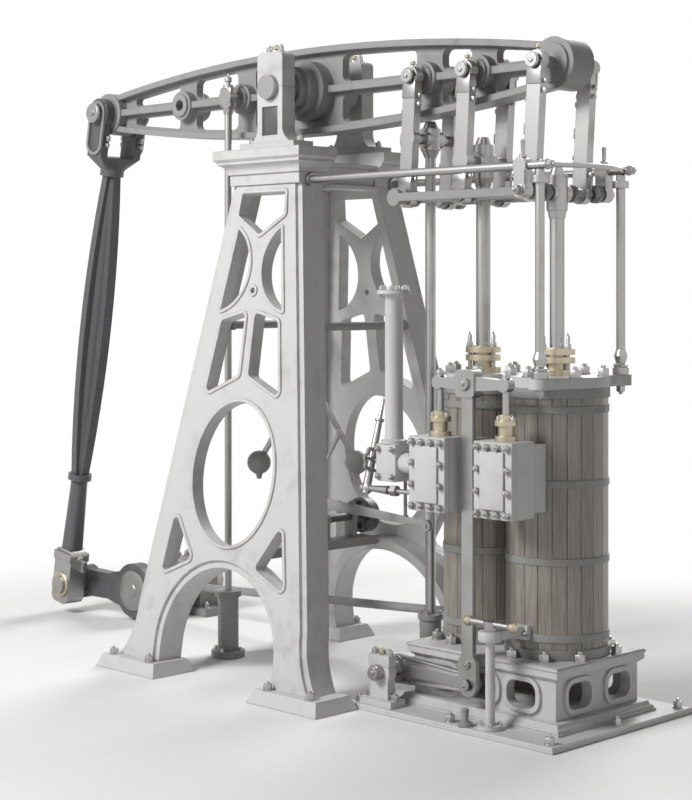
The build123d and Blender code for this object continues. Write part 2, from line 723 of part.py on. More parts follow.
with BuildPart() as crankshaft:
    for start, end, radius in (
        (CRANK_Y, COLLAR_Y[1], SHAFT_R),
        (COLLAR_Y[0], COLLAR_Y[1], SHAFT_COLLAR_R),
        (COLLAR_Y[1], SHAFT_END_Y, SEAT_R),
    ):
        with Locations((crank_x, (start + end) / 2, CRANK_Z)):
            Cylinder(radius, end - start, rotation=ALONG_Y)
crankshaft.part.label = "crankshaft"

sheave_x = crank_x + ECCENTRIC_THROW
with BuildPart() as eccentric:
    with Locations((sheave_x, ECCENTRIC_Y, CRANK_Z)):
        Cylinder(ECCENTRIC_R, ECCENTRIC_T, rotation=ALONG_Y)
    with Locations((crank_x, ECCENTRIC_Y, CRANK_Z)):
        Cylinder(SHAFT_R + FIT, 2 * ECCENTRIC_T, rotation=ALONG_Y, mode=Mode.SUBTRACT)
eccentric.part.label = "eccentric"

rocker_pin_z = ROCKER_Z + ECCENTRIC_ARM
STRAP_FIT = 0.5
ECCENTRIC_ROD_R = 22.0
with BuildPart() as eccentric_rod:
    eccentric_lean = degrees(atan2(rocker_pin_z - CRANK_Z, rocker_x - sheave_x))
    reach = sqrt((rocker_pin_z - CRANK_Z) ** 2 + (rocker_x - sheave_x) ** 2)
    rod_start = ECCENTRIC_R + STRAP_T / 2
    with Locations((sheave_x, ECCENTRIC_Y, CRANK_Z)):
        Cylinder(ECCENTRIC_R + STRAP_T, ECCENTRIC_T - 16, rotation=ALONG_Y)
    with Locations(Location((sheave_x, ECCENTRIC_Y, CRANK_Z), (0, -eccentric_lean, 0))):
        with Locations(((rod_start + reach) / 2, 0, 0)):
            Cylinder(ECCENTRIC_ROD_R, reach - rod_start, rotation=ALONG_X)
        with Locations((reach, 0, 0)):
            Cylinder(2 * ECCENTRIC_ROD_R, ECCENTRIC_T - 16, rotation=ALONG_Y)
        with Locations((reach, -ECCENTRIC_T / 4, 0)):
            Cylinder(STUB_R, ECCENTRIC_T / 2, rotation=ALONG_Y)
    with Locations((sheave_x, ECCENTRIC_Y, CRANK_Z)):
        Cylinder(ECCENTRIC_R + STRAP_FIT, 2 * ECCENTRIC_T, rotation=ALONG_Y, mode=Mode.SUBTRACT)
eccentric_rod.part.label = "eccentric_rod"

BEARING_SOLE = 46.0
with BuildPart() as crank_pedestal:
    with Locations((crank_x, CRANK_BEARING_Y, BEARING_SOLE / 2)):
        Box(2 * CRANK_BEARING_HALF + 140, CRANK_BEARING_T + 40, BEARING_SOLE)
    with Locations((crank_x, CRANK_BEARING_Y, CRANK_Z / 2)):
        Box(2 * CRANK_BEARING_HALF, CRANK_BEARING_T, CRANK_Z)
    with Locations((crank_x, CRANK_BEARING_Y, CRANK_Z)):
        Cylinder(SHAFT_R + FIT, 2 * CRANK_BEARING_T, rotation=ALONG_Y, mode=Mode.SUBTRACT)
crank_pedestal.part.label = "crank_pedestal"

with BuildPart() as crank_pedestal_cap:
    with Locations((crank_x, CRANK_BEARING_Y, CRANK_Z + BEARING_CAP_H / 2)):
        Box(2 * CRANK_BEARING_HALF, CRANK_BEARING_T, BEARING_CAP_H)
    fillet(crank_pedestal_cap.edges().filter_by(Axis.Y).group_by(Axis.Z)[-1], 50)
    with Locations((crank_x, CRANK_BEARING_Y, CRANK_Z)):
        Cylinder(SHAFT_R + FIT, 2 * CRANK_BEARING_T, rotation=ALONG_Y, mode=Mode.SUBTRACT)
crank_pedestal_cap.part.label = "crank_pedestal_cap"


# Parallel motion: three pairs of links, parallel bars and radius rods
def link_foot(pin_x, drop):
    """Point on a link at a drop below its upper pin."""
    return pin_x - link_lean * drop / LINK_DROP, TRUNNION_Z - drop


def link_pair(pin_x, plane_y, head_drop):
    """Front and back link with eyes at the top, the foot and the crosshead's height."""
    foot_x, foot_z = link_foot(pin_x, LINK_DROP)
    head_x, head_z = link_foot(pin_x, head_drop)
    lean = degrees(atan2(link_lean, LINK_DROP))
    with BuildPart() as pair:
        for side in (-1, 1):
            with BuildSketch(side_plane(side * plane_y)):
                with Locations(Location(((pin_x + foot_x) / 2, TRUNNION_Z - LINK_DROP / 2), -lean)):
                    Rectangle(LINK_W, LINK_DROP)
                with Locations((pin_x, TRUNNION_Z), (foot_x, foot_z), (head_x, head_z)):
                    Circle(LINK_EYE_R)
                with Locations((pin_x, TRUNNION_Z)):
                    Circle(LINK_PIN_R + FIT, mode=Mode.SUBTRACT)
            extrude(amount=LINK_T / 2, both=True)
            inner = plane_y - LINK_T / 2
            stub_end = CROSSHEAD_REACH + PIVOT_GAP
            points = {(foot_x, foot_z), (head_x, head_z)}
            for x, z in sorted(points):
                with Locations((x, side * (inner + stub_end) / 2, z)):
                    Cylinder(STUB_R, inner - stub_end, rotation=ALONG_Y)
    return pair.part


with BuildPart() as main_links:
    add(link_pair(outer_pin_x, MAIN_LINK_Y, LINK_DROP))
main_links.part.label = "main_links"

with BuildPart() as inner_links:
    add(link_pair(inner_pin_x, LINK_Y, inner_drop))
inner_links.part.label = "inner_links"

radius_inner = RADIUS_Y - RADIUS_T / 2
with BuildPart() as pump_links:
    add(link_pair(pump_pin_x, LINK_Y, pump_drop))
    outer = LINK_Y + LINK_T / 2
    for side in (-1, 1):
        with Locations((pump_pin_x - link_lean, side * (outer + radius_inner - PIVOT_GAP) / 2, bar_z)):
            Cylinder(STUB_R, radius_inner - PIVOT_GAP - outer, rotation=ALONG_Y)
pump_links.part.label = "pump_links"

with BuildPart() as parallel_bars:
    first = pump_pin_x - link_lean
    last = outer_pin_x - link_lean
    for side in (-1, 1):
        with BuildSketch(side_plane(side * BAR_Y)):
            with Locations(((first + last) / 2, bar_z)):
                Rectangle(last - first, BAR_W)
            with Locations(*((x - link_lean, bar_z) for x in (pump_pin_x, inner_pin_x, outer_pin_x))):
                Circle(BAR_W * 0.85)
                Circle(STUB_R + FIT, mode=Mode.SUBTRACT)
        extrude(amount=BAR_T / 2, both=True)
parallel_bars.part.label = "parallel_bars"

PIVOT_R = 22.0
with BuildPart() as radius_rods:
    first = pump_pin_x - link_lean
    for side in (-1, 1):
        with BuildSketch(side_plane(side * RADIUS_Y)):
            with Locations(((first + radius_pivot_x) / 2, bar_z)):
                Rectangle(radius_length, BAR_W * 0.8)
            with Locations((first, bar_z), (radius_pivot_x, bar_z)):
                Circle(BAR_W * 0.85)
            with Locations((radius_pivot_x, bar_z)):
                Circle(PIVOT_R + FIT, mode=Mode.SUBTRACT)
        extrude(amount=RADIUS_T / 2, both=True)
radius_rods.part.label = "radius_rods"

# Guide posts, rails, the bowed end bar and the radius rods' brackets
LUG_R = 36.0
with BuildPart() as guide_posts:
    for side in (-1, 1):
        post_h = GUIDE_Z - GUIDE_R - SEAT - cover_z
        with Locations((guide_x, side * GUIDE_Y, cover_z + post_h / 2)):
            Cylinder(POST_R, post_h)
        for level in (cover_z + 15, GUIDE_Z - 60):
            with Locations((guide_x, side * GUIDE_Y, level)):
                Cylinder(LUG_R, 30)
guide_posts.part.label = "guide_posts"

rail_end = guide_x + 40
RAIL_FOOT_R = 30.0
RAIL_FOOT_T = 18.0
with BuildPart() as guide_rails:
    for side in (-1, 1):
        with Locations(((NECK_OUT_X + rail_end) / 2, side * GUIDE_Y, GUIDE_Z)):
            Cylinder(GUIDE_R, rail_end - NECK_OUT_X, rotation=ALONG_X)
        with Locations((NECK_OUT_X + RAIL_FOOT_T / 2, side * GUIDE_Y, GUIDE_Z)):
            Cylinder(RAIL_FOOT_R, RAIL_FOOT_T, rotation=ALONG_X)
guide_rails.part.label = "guide_rails"

END_BOW = 110.0
with BuildPart() as rail_end_bar:
    bow_ends = [(guide_x, side * GUIDE_Y, GUIDE_Z) for side in (-1, 1)]
    with BuildLine() as bow:
        ThreePointArc(bow_ends[0], (guide_x + END_BOW, 0, GUIDE_Z), bow_ends[1])
    with BuildSketch(Plane(origin=bow.line @ 0, z_dir=bow.line % 0)):
        Circle(GUIDE_R * 0.6)
    sweep()
    with Locations(*bow_ends):
        Cylinder(GUIDE_R + SEAT, 4 * GUIDE_R, rotation=ALONG_X, mode=Mode.SUBTRACT)
rail_end_bar.part.label = "rail_end_bar"

bracket_w = 56.0
BRACKET_WALL = 9.0
with BuildPart() as radius_brackets:
    for side in (-1, 1):
        hang = GUIDE_Z - bar_z
        with BuildSketch(side_plane(side * GUIDE_Y)):
            with Locations((radius_pivot_x, bar_z + hang / 2)):
                Rectangle(bracket_w, hang)
            with Locations((radius_pivot_x, bar_z), (radius_pivot_x, GUIDE_Z)):
                Circle(bracket_w * 0.62)
        extrude(amount=GUIDE_R + BRACKET_WALL, both=True)
        with Locations((radius_pivot_x, side * (GUIDE_Y + radius_inner) / 2, bar_z)):
            Cylinder(PIVOT_R, GUIDE_Y - radius_inner, rotation=ALONG_Y)
    for side in (-1, 1):
        with Locations((radius_pivot_x, side * GUIDE_Y, GUIDE_Z)):
            Cylinder(GUIDE_R + FIT, 200, rotation=ALONG_X, mode=Mode.SUBTRACT)
radius_brackets.part.label = "radius_brackets"

# Bed plate, cylinder base, cylinders, covers and glands
WINDOW = (154.0, 108.0)
WINDOW_R = 40.0
WINDOW_BORDER = 22.0
WINDOW_PROUD = 12.0
WINDOW_PITCH = 216.0
END_WINDOW_Y = 135.0
with BuildPart() as bed_plate:
    with Locations((sum(bed_x) / 2, 0, BED_T / 2)):
        Box(bed_x[1] - bed_x[0], 2 * BED_Y, BED_T)
    chamfer(bed_plate.faces().sort_by(Axis.Z)[-1].edges(), BED_T / 3)
bed_plate.part.label = "bed_plate"

base_h = BASE_TOP_Z - BED_T
base_mid = sum(base_x) / 2
base_len = base_x[1] - base_x[0]
MOULD = 22.0
with BuildPart() as cylinder_base:
    with Locations((base_mid, 0, BED_T + base_h / 2)):
        Box(base_len - 2 * MOULD, 2 * (BASE_Y - MOULD), base_h)
    for level in (BED_T + MOULD, BASE_TOP_Z - MOULD):
        with Locations((base_mid, 0, level)):
            Box(base_len, 2 * BASE_Y, 2 * MOULD)
    window_z = BED_T + base_h / 2
    wall_y = BASE_Y - MOULD
    border = (WINDOW[0] + 2 * WINDOW_BORDER, WINDOW[1] + 2 * WINDOW_BORDER)
    for shift in (-WINDOW_PITCH, 0, WINDOW_PITCH):
        with BuildSketch(side_plane(wall_y + WINDOW_PROUD)):
            with Locations((base_mid + shift, window_z)):
                RectangleRounded(*border, WINDOW_R + WINDOW_BORDER)
        extrude(amount=2 * (wall_y + WINDOW_PROUD))
    for window_y in (-END_WINDOW_Y, END_WINDOW_Y):
        with BuildSketch(Plane.YZ.offset(base_mid)):
            with Locations((window_y, window_z)):
                RectangleRounded(*border, WINDOW_R + WINDOW_BORDER)
        extrude(amount=base_len / 2 - MOULD + WINDOW_PROUD)
    with Locations((base_mid, 0, BED_T + (base_h - BASE_WALL) / 2)):
        hollow_x = base_len - 2 * BASE_WALL - 2 * MOULD
        Box(hollow_x, 2 * (wall_y - BASE_WALL), base_h - BASE_WALL, mode=Mode.SUBTRACT)
    for shift in (-WINDOW_PITCH, 0, WINDOW_PITCH):
        with BuildSketch(side_plane(2 * BASE_Y)):
            with Locations((base_mid + shift, window_z)):
                RectangleRounded(*WINDOW, WINDOW_R)
        extrude(amount=4 * BASE_Y, mode=Mode.SUBTRACT)
    for window_y in (-END_WINDOW_Y, END_WINDOW_Y):
        with BuildSketch(Plane.YZ.offset(base_mid)):
            with Locations((window_y, window_z)):
                RectangleRounded(*WINDOW, WINDOW_R)
        extrude(amount=base_len, mode=Mode.SUBTRACT)
cylinder_base.part.label = "cylinder_base"


def cylinder_barrel(x, bore, flange_r):
    """Bored barrel with a flange at each end."""
    with BuildPart() as barrel:
        with BuildSketch(Plane.XY.offset(BASE_TOP_Z)):
            with Locations((x, 0)):
                Circle(flange_r)
                Circle(bore, mode=Mode.SUBTRACT)
        extrude(amount=FLANGE_T)
        with BuildSketch(Plane.XY.offset(BASE_TOP_Z)):
            with Locations((x, 0)):
                Circle(bore + BARREL_WALL)
                Circle(bore, mode=Mode.SUBTRACT)
        extrude(amount=BARREL_TOP_Z - BASE_TOP_Z)
        with BuildSketch(Plane.XY.offset(BARREL_TOP_Z - FLANGE_T)):
            with Locations((x, 0)):
                Circle(flange_r)
                Circle(bore, mode=Mode.SUBTRACT)
        extrude(amount=FLANGE_T)
    return barrel.part


def barrel_lagging(x, inner, outer):
    """Wooden jacket between the flanges with raised hoops."""
    low = BASE_TOP_Z + FLANGE_T
    high = BARREL_TOP_Z - FLANGE_T
    with BuildPart() as jacket:
        with BuildSketch(Plane.XY.offset(low)):
            with Locations((x, 0)):
                Circle(outer)
                Circle(inner, mode=Mode.SUBTRACT)
        extrude(amount=high - low)
        for share in (0.05, 0.35, 0.65, 0.95):
            with BuildSketch(Plane.XY.offset(low + share * (high - low) - BAND_W / 2)):
                with Locations((x, 0)):
                    Circle(outer + BAND_T)
                    Circle(inner, mode=Mode.SUBTRACT)
            extrude(amount=BAND_W)
    return jacket.part


with BuildPart() as inner_cylinder:
    add(cylinder_barrel(inner_x, INNER_BORE, INNER_FLANGE_R))
inner_cylinder.part.label = "inner_cylinder"

with BuildPart() as outer_cylinder:
    add(cylinder_barrel(outer_x, OUTER_BORE, OUTER_FLANGE_R))
outer_cylinder.part.label = "outer_cylinder"

with BuildPart() as inner_lagging:
    add(barrel_lagging(inner_x, INNER_BORE + BARREL_WALL + SEAT, INNER_LAG_R))
inner_lagging.part.label = "inner_lagging"

with BuildPart() as outer_lagging:
    add(barrel_lagging(outer_x, OUTER_BORE + BARREL_WALL + SEAT, OUTER_LAG_R))
outer_lagging.part.label = "outer_lagging"

with BuildPart() as inner_cover:
    with BuildSketch(Plane.XY.offset(BARREL_TOP_Z)):
        with Locations((inner_x, 0)):
            Circle(INNER_FLANGE_R)
            Circle(ROD_R + SEAT, mode=Mode.SUBTRACT)
    extrude(amount=COVER_T)
inner_cover.part.label = "inner_cover"

with BuildPart() as outer_cover:
    with BuildSketch(Plane.XY.offset(BARREL_TOP_Z)):
        with Locations((outer_x, 0)):
            Circle(OUTER_FLANGE_R)
        with Locations((guide_x, 0)):
            SlotCenterToCenter(2 * GUIDE_Y, 2.6 * LUG_R, rotation=90)
        with Locations((outer_x, 0)):
            Circle(ROD_R + SEAT, mode=Mode.SUBTRACT)
    extrude(amount=COVER_T)
outer_cover.part.label = "outer_cover"

GLAND_NECK_R = 48.0
GLAND_FLANGE_T = 26.0
with BuildPart() as piston_glands:
    for x in (inner_x, outer_x):
        with BuildSketch(Plane.XY.offset(cover_z)):
            with Locations((x, 0)):
                Circle(GLAND_NECK_R)
                Circle(ROD_R + SEAT, mode=Mode.SUBTRACT)
        extrude(amount=GLAND_H)
        for level in (0, GLAND_H * 0.45, GLAND_H * 0.75):
            with BuildSketch(Plane.XY.offset(cover_z + level)):
                with Locations((x, 0)):
                    Circle(GLAND_R)
                    Circle(ROD_R + SEAT, mode=Mode.SUBTRACT)
            extrude(amount=GLAND_FLANGE_T)
piston_glands.part.label = "piston_glands"

AIR_PUMP_H = 330.0
AIR_PUMP_R = 50.0
AIR_FLANGE = 24.0
AIR_FLOOR = 10.0
with BuildPart() as air_pump:
    pump_top = BED_T + AIR_PUMP_H
    with Locations((pump_x, 0, (BED_T + pump_top) / 2)):
        Cylinder(AIR_PUMP_R, AIR_PUMP_H)
    for level in (BED_T + AIR_FLANGE / 2, pump_top - AIR_FLANGE / 2):
        with Locations((pump_x, 0, level)):
            Cylinder(AIR_PUMP_R + 8, AIR_FLANGE)
    with Locations((pump_x, 0, BED_T + AIR_FLOOR + AIR_PUMP_H / 2)):
        Cylinder(PUMP_ROD_R + SEAT, AIR_PUMP_H, mode=Mode.SUBTRACT)
air_pump.part.label = "air_pump"


# Rods with their crossheads
SOCKET_R = 46.0
SOCKET_BOSS_R = 40.0
SOCKET_CAP = 34.0


def rod_with_crosshead(x, head_z, radius, low_z, half_height):
    """Round rod hanging from a crosshead block with a stub pin each way."""
    with BuildPart() as rod:
        with Locations((x, 0, (low_z + head_z) / 2)):
            Cylinder(radius, head_z - low_z)
        with Locations((x, 0, head_z)):
            Cylinder(SOCKET_R, 2 * half_height)
            Cylinder(SOCKET_BOSS_R, 2 * CROSSHEAD_HALF, rotation=ALONG_Y)
            Cylinder(STUB_R, 2 * CROSSHEAD_REACH, rotation=ALONG_Y)
        with Locations((x, 0, head_z + half_height + SOCKET_CAP / 2)):
            Cone(0.8 * SOCKET_R, 0.5 * SOCKET_R, SOCKET_CAP)
        with Locations((x, 0, head_z - half_height - SOCKET_CAP / 2)):
            Cone(1.1 * radius, 0.9 * SOCKET_R, SOCKET_CAP)
    return rod.part


HEAD_HALF_TALL = 76.0
HEAD_HALF_SHORT = 50.0
with BuildPart() as outer_piston_rod:
    add(rod_with_crosshead(outer_x, bar_z, ROD_R, piston_z, HEAD_HALF_TALL))
    with Locations((outer_x, 0, piston_z)):
        Cylinder(OUTER_BORE - RUN, PISTON_T)
outer_piston_rod.part.label = "outer_piston_rod"

with BuildPart() as inner_piston_rod:
    add(rod_with_crosshead(inner_x, TRUNNION_Z - inner_drop, ROD_R, piston_z, HEAD_HALF_TALL))
    with Locations((inner_x, 0, piston_z)):
        Cylinder(INNER_BORE - RUN, PISTON_T)
inner_piston_rod.part.label = "inner_piston_rod"

pump_low = BED_T + AIR_FLOOR + pump_travel + RUN
with BuildPart() as pump_rod:
    add(rod_with_crosshead(pump_x, TRUNNION_Z - pump_drop, PUMP_ROD_R, pump_low, HEAD_HALF_SHORT))
pump_rod.part.label = "pump_rod"

with BuildPart() as feed_rod:
    with Locations((FEED_X, FEED_Y, (TRUNNION_Z + 180) / 2)):
        Cylinder(FEED_R, TRUNNION_Z - 180)
    with Locations((FEED_X, FEED_Y, TRUNNION_Z)):
        Cylinder(44, FEED_EYE_T, rotation=ALONG_Y)
feed_rod.part.label = "feed_rod"

with BuildPart() as feed_pump:
    with Locations((FEED_X, FEED_Y, FEED_PUMP_H / 2)):
        Cylinder(52, FEED_PUMP_H)
    with Locations((FEED_X, FEED_Y, 16)):
        Cylinder(85, 32)
    with Locations((FEED_X, FEED_Y, FEED_PUMP_H - 14)):
        Cylinder(66, 28)
    with Locations((FEED_X, FEED_Y, FEED_PUMP_H / 2 + 20)):
        Cylinder(FEED_R + SEAT, FEED_PUMP_H, mode=Mode.SUBTRACT)
feed_pump.part.label = "feed_pump"


# Valve chests and the gear that works them
def valve_chest(chest_x, barrel_x, lag_r):
    """Steam chest with a port block that fits the jacket."""
    tall = CHEST_Z[1] - CHEST_Z[0]
    mid_z = sum(CHEST_Z) / 2
    with BuildPart() as chest:
        with Locations((chest_x, VALVE_Y, mid_z)):
            Box(CHEST_W, CHEST_D, tall)
        port_y = (VALVE_Y + CHEST_D / 2) / 2
        with Locations((chest_x, port_y, mid_z)):
            Box(CHEST_W * 0.8, -2 * port_y, tall * 0.9)
        with Locations((barrel_x, 0, mid_z)):
            Cylinder(lag_r + BAND_T + SEAT, 2 * tall, mode=Mode.SUBTRACT)
        with Locations((chest_x, VALVE_Y, CHEST_Z[1])):
            Cylinder(VALVE_ROD_R + SEAT, VALVE_BORE, mode=Mode.SUBTRACT)
        keep = chest.solids().sort_by(Axis.Y)[0]
    return keep


with BuildPart() as inner_valve_chest:
    add(valve_chest(inner_chest_x, inner_x, INNER_LAG_R))
inner_valve_chest.part.label = "inner_valve_chest"

with BuildPart() as outer_valve_chest:
    add(valve_chest(outer_chest_x, outer_x, OUTER_LAG_R))
outer_valve_chest.part.label = "outer_valve_chest"

chest_front = VALVE_Y - CHEST_D / 2
with BuildPart() as chest_covers:
    for x in (inner_chest_x, outer_chest_x):
        with Locations((x, chest_front - CHEST_COVER_T / 2, sum(CHEST_Z) / 2)):
            Box(CHEST_W, CHEST_COVER_T, CHEST_Z[1] - CHEST_Z[0])
        with Locations((x, chest_front - CHEST_COVER_T, sum(CHEST_Z) / 2)):
            Box(CHEST_W * 0.56, 16, (CHEST_Z[1] - CHEST_Z[0]) * 0.72)
chest_covers.part.label = "chest_covers"

with BuildPart() as valve_glands:
    for x in (inner_chest_x, outer_chest_x):
        gland_h = VALVE_GLAND_TOP - CHEST_Z[1]
        with Locations((x, VALVE_Y, CHEST_Z[1] + gland_h / 2)):
            Cylinder(32, gland_h)
        for level in (CHEST_Z[1] + 10, VALVE_GLAND_TOP - 34):
            with Locations((x, VALVE_Y, level)):
                Cylinder(48, 20)
        with Locations((x, VALVE_Y, CHEST_Z[1] + gland_h / 2)):
            Cylinder(VALVE_ROD_R + SEAT, 2 * gland_h, mode=Mode.SUBTRACT)
valve_glands.part.label = "valve_glands"

lever_reach = flat_rod_x - rocker_x
lever_y = VALVE_Y + FLAT_ROD_T / 2 + RUN + LEVER_T / 2
LEVER_PIN_R = 16.0
PIN_PLAY = 6.0
WING_IN = 34.0
WING_OUT = 20.0
WING_EYE_R = 30.0
WING_T = 44.0
WING_BOSS = (104.0, 118.0)
ROD_LOOP = 86.0
with BuildPart() as valve_crosshead:
    with BuildSketch(side_plane(VALVE_Y)):
        for end_x in (inner_chest_x, outer_chest_x):
            with BuildLine():
                Polyline(
                    (flat_rod_x, CROSSHEAD_Z + WING_IN),
                    (end_x, CROSSHEAD_Z + WING_OUT),
                    (end_x, CROSSHEAD_Z - WING_OUT),
                    (flat_rod_x, CROSSHEAD_Z - WING_IN),
                    close=True,
                )
            make_face()
        with Locations((inner_chest_x, CROSSHEAD_Z), (outer_chest_x, CROSSHEAD_Z)):
            Circle(WING_EYE_R)
    extrude(amount=WING_T / 2, both=True)
    with BuildSketch(side_plane(VALVE_Y)):
        with Locations((flat_rod_x, CROSSHEAD_Z)):
            RectangleRounded(*WING_BOSS, CORNER_R)
    extrude(amount=WING_T / 2 + BEAD_PROUD, both=True)
    with BuildSketch(side_plane(VALVE_Y)):
        with Locations((flat_rod_x, (CROSSHEAD_Z + ROCKER_Z) / 2)):
            Rectangle(FLAT_ROD_W, CROSSHEAD_Z - ROCKER_Z)
        with Locations((flat_rod_x, ROCKER_Z + ROD_LOOP / 2)):
            SlotCenterToCenter(ROD_LOOP, 1.6 * FLAT_ROD_W, rotation=90)
        with Locations((flat_rod_x, ROCKER_Z)):
            Circle(LEVER_PIN_R + PIN_PLAY, mode=Mode.SUBTRACT)
    extrude(amount=FLAT_ROD_T / 2, both=True)
    for x in (inner_chest_x, outer_chest_x):
        with Locations((x, VALVE_Y, (CROSSHEAD_Z + CHEST_Z[1]) / 2)):
            Cylinder(VALVE_ROD_R, CROSSHEAD_Z - CHEST_Z[1])
valve_crosshead.part.label = "valve_crosshead"

with BuildPart() as rocking_shaft:
    with Locations((rocker_x, 0, ROCKER_Z)):
        Cylinder(ROCKER_R, 2 * ROCKER_HALF, rotation=ALONG_Y)
    with BuildSketch(side_plane(lever_y)):
        with Locations((rocker_x + lever_reach / 2, ROCKER_Z)):
            Rectangle(lever_reach, 50)
        with Locations((rocker_x, ROCKER_Z)):
            Circle(62)
        with Locations((flat_rod_x, ROCKER_Z)):
            Circle(38)
    extrude(amount=LEVER_T / 2, both=True)
    pin_y = (lever_y + VALVE_Y - FLAT_ROD_T) / 2
    with Locations((flat_rod_x, pin_y, ROCKER_Z)):
        Cylinder(LEVER_PIN_R, lever_y - VALVE_Y + FLAT_ROD_T, rotation=ALONG_Y)
    arm_y = ECCENTRIC_Y - ECCENTRIC_T / 2 - LEVER_T / 2 - PIVOT_GAP
    with BuildSketch(side_plane(arm_y)):
        with Locations((rocker_x, ROCKER_Z + ECCENTRIC_ARM / 2)):
            Rectangle(46, ECCENTRIC_ARM)
        with Locations((rocker_x, ROCKER_Z)):
            Circle(58)
        with Locations((rocker_x, rocker_pin_z)):
            Circle(38)
    extrude(amount=LEVER_T / 2, both=True)
rocking_shaft.part.label = "rocking_shaft"

ROCKER_BEARING_T = 46.0
with BuildPart() as rocker_pedestals:
    for side in (-1, 1):
        y = side * ROCKER_BEARING_Y
        with Locations((rocker_x, y, BED_T + 15)):
            Box(190, 90, 30)
        with Locations((rocker_x, y, (BED_T + ROCKER_Z) / 2)):
            Box(110, ROCKER_BEARING_T, ROCKER_Z - BED_T)
        with Locations((rocker_x, y, ROCKER_Z)):
            Cylinder(62, ROCKER_BEARING_T, rotation=ALONG_Y)
            Cylinder(ROCKER_R + FIT, 2 * ROCKER_BEARING_T, rotation=ALONG_Y, mode=Mode.SUBTRACT)
rocker_pedestals.part.label = "rocker_pedestals"

# Steam pipe and throttle valve
with BuildPart() as steam_pipe:
    with BuildSketch(Plane.XY.offset(STEAM_LOW_Z + 90)):
        with Locations((steam_x, VALVE_Y)):
            Circle(STEAM_R)
            Circle(STEAM_R - 8, mode=Mode.SUBTRACT)
    extrude(amount=STEAM_TOP_Z - STEAM_LOW_Z - 90)
    for level in (STEAM_LOW_Z + 90, STEAM_TOP_Z - 20):
        with BuildSketch(Plane.XY.offset(level)):
            with Locations((steam_x, VALVE_Y)):
                Circle(STEAM_R + 34)
                Circle(STEAM_R - 8, mode=Mode.SUBTRACT)
        extrude(amount=20)
steam_pipe.part.label = "steam_pipe"

with BuildPart() as throttle_valve:
    with Locations((steam_x, VALVE_Y, STEAM_LOW_Z)):
        Sphere(62)
    with Locations((steam_x, VALVE_Y, STEAM_LOW_Z + 58)):
        Cylinder(STEAM_R, 64)
    with Locations((steam_x, VALVE_Y, STEAM_LOW_Z + 80)):
        Cylinder(STEAM_R + 34, 20)
    branch = inner_chest_x - CHEST_W / 2 - steam_x
    with Locations((steam_x + branch / 2, VALVE_Y, STEAM_LOW_Z)):
        Cylinder(STEAM_R, branch, rotation=ALONG_X)
    with Locations((steam_x + branch - 10, VALVE_Y, STEAM_LOW_Z)):
        Cylinder(STEAM_R + 24, 20, rotation=ALONG_X)
throttle_valve.part.label = "throttle_valve"

# Governor on a girder between the frames
rim_top_z = (ARCH_SPRING + ARCH_HALF + FRAME_RIM) * cos(splay)
girder_end = FRAME_FOOT_Y - (FRAME_FOOT_Y - FRAME_TOP_Y) * rim_top_z / FRAME_TOP_Z
girder_end -= FRAME_DEPTH / 2 * cos(splay) + SEAT
with BuildPart() as governor_girder:
    with Locations((GOVERNOR_X, 0, GOVERNOR_Z)):
        Box(90, 2 * girder_end, 46)
        Cylinder(70, 60)
    for y in (110, 300):
        with Locations((GOVERNOR_X, y, (GOVERNOR_Z + DRIVE_Z) / 2)):
            Box(60, 30, DRIVE_Z - GOVERNOR_Z)
        with Locations((GOVERNOR_X, y, DRIVE_Z)):
            Cylinder(38, 30, rotation=ALONG_Y)
            Cylinder(SPINDLE_R + FIT, 60, rotation=ALONG_Y, mode=Mode.SUBTRACT)
    with Locations((GOVERNOR_X, 0, GOVERNOR_Z)):
        Cylinder(SPINDLE_R + FIT, 120, mode=Mode.SUBTRACT)
governor_girder.part.label = "governor_girder"

with BuildPart() as governor:
    with Locations((GOVERNOR_X, 0, (GOVERNOR_Z - 40 + SPINDLE_TOP_Z) / 2)):
        Cylinder(SPINDLE_R, SPINDLE_TOP_Z - GOVERNOR_Z + 40)
    with Locations((GOVERNOR_X, 0, DRIVE_Z - 62)):
        Cone(64, 40, 24)
    with Locations((GOVERNOR_X, 0, SPINDLE_TOP_Z - 30)):
        Cylinder(46, 60)
    arm_plane = Plane(origin=(GOVERNOR_X, 0, 0), x_dir=(1, 1, 0), z_dir=(1, -1, 0))
    for side in (-1, 1):
        with BuildSketch(arm_plane):
            with BuildLine():
                Polyline(
                    (side * 10, SPINDLE_TOP_Z - 50),
                    (side * 10, SPINDLE_TOP_Z - 20),
                    (side * (BALL_REACH + 12), BALL_Z),
                    (side * (BALL_REACH - 12), BALL_Z),
                    close=True,
                )
            make_face()
        extrude(amount=9, both=True)
        with Locations((GOVERNOR_X + side * BALL_REACH * sqrt(0.5), side * BALL_REACH * sqrt(0.5), BALL_Z)):
            Sphere(BALL_R)
governor.part.label = "governor"

with BuildPart() as governor_drive:
    drive_end = 420.0
    with Locations((GOVERNOR_X, (62 + drive_end) / 2, DRIVE_Z)):
        Cylinder(SPINDLE_R, drive_end - 62, rotation=ALONG_Y)
    with Locations((GOVERNOR_X, 74, DRIVE_Z)):
        Cylinder(46, 22, rotation=ALONG_Y)
    with BuildSketch(side_plane(drive_end)):
        with Locations((GOVERNOR_X, DRIVE_Z)):
            Circle(PULLEY_R)
            Circle(PULLEY_R - 16, mode=Mode.SUBTRACT)
            Circle(36)
            for turn in (0, 60, 120):
                Rectangle(2 * PULLEY_R - 16, 16, rotation=turn)
    extrude(amount=56)
governor_drive.part.label = "governor_drive"

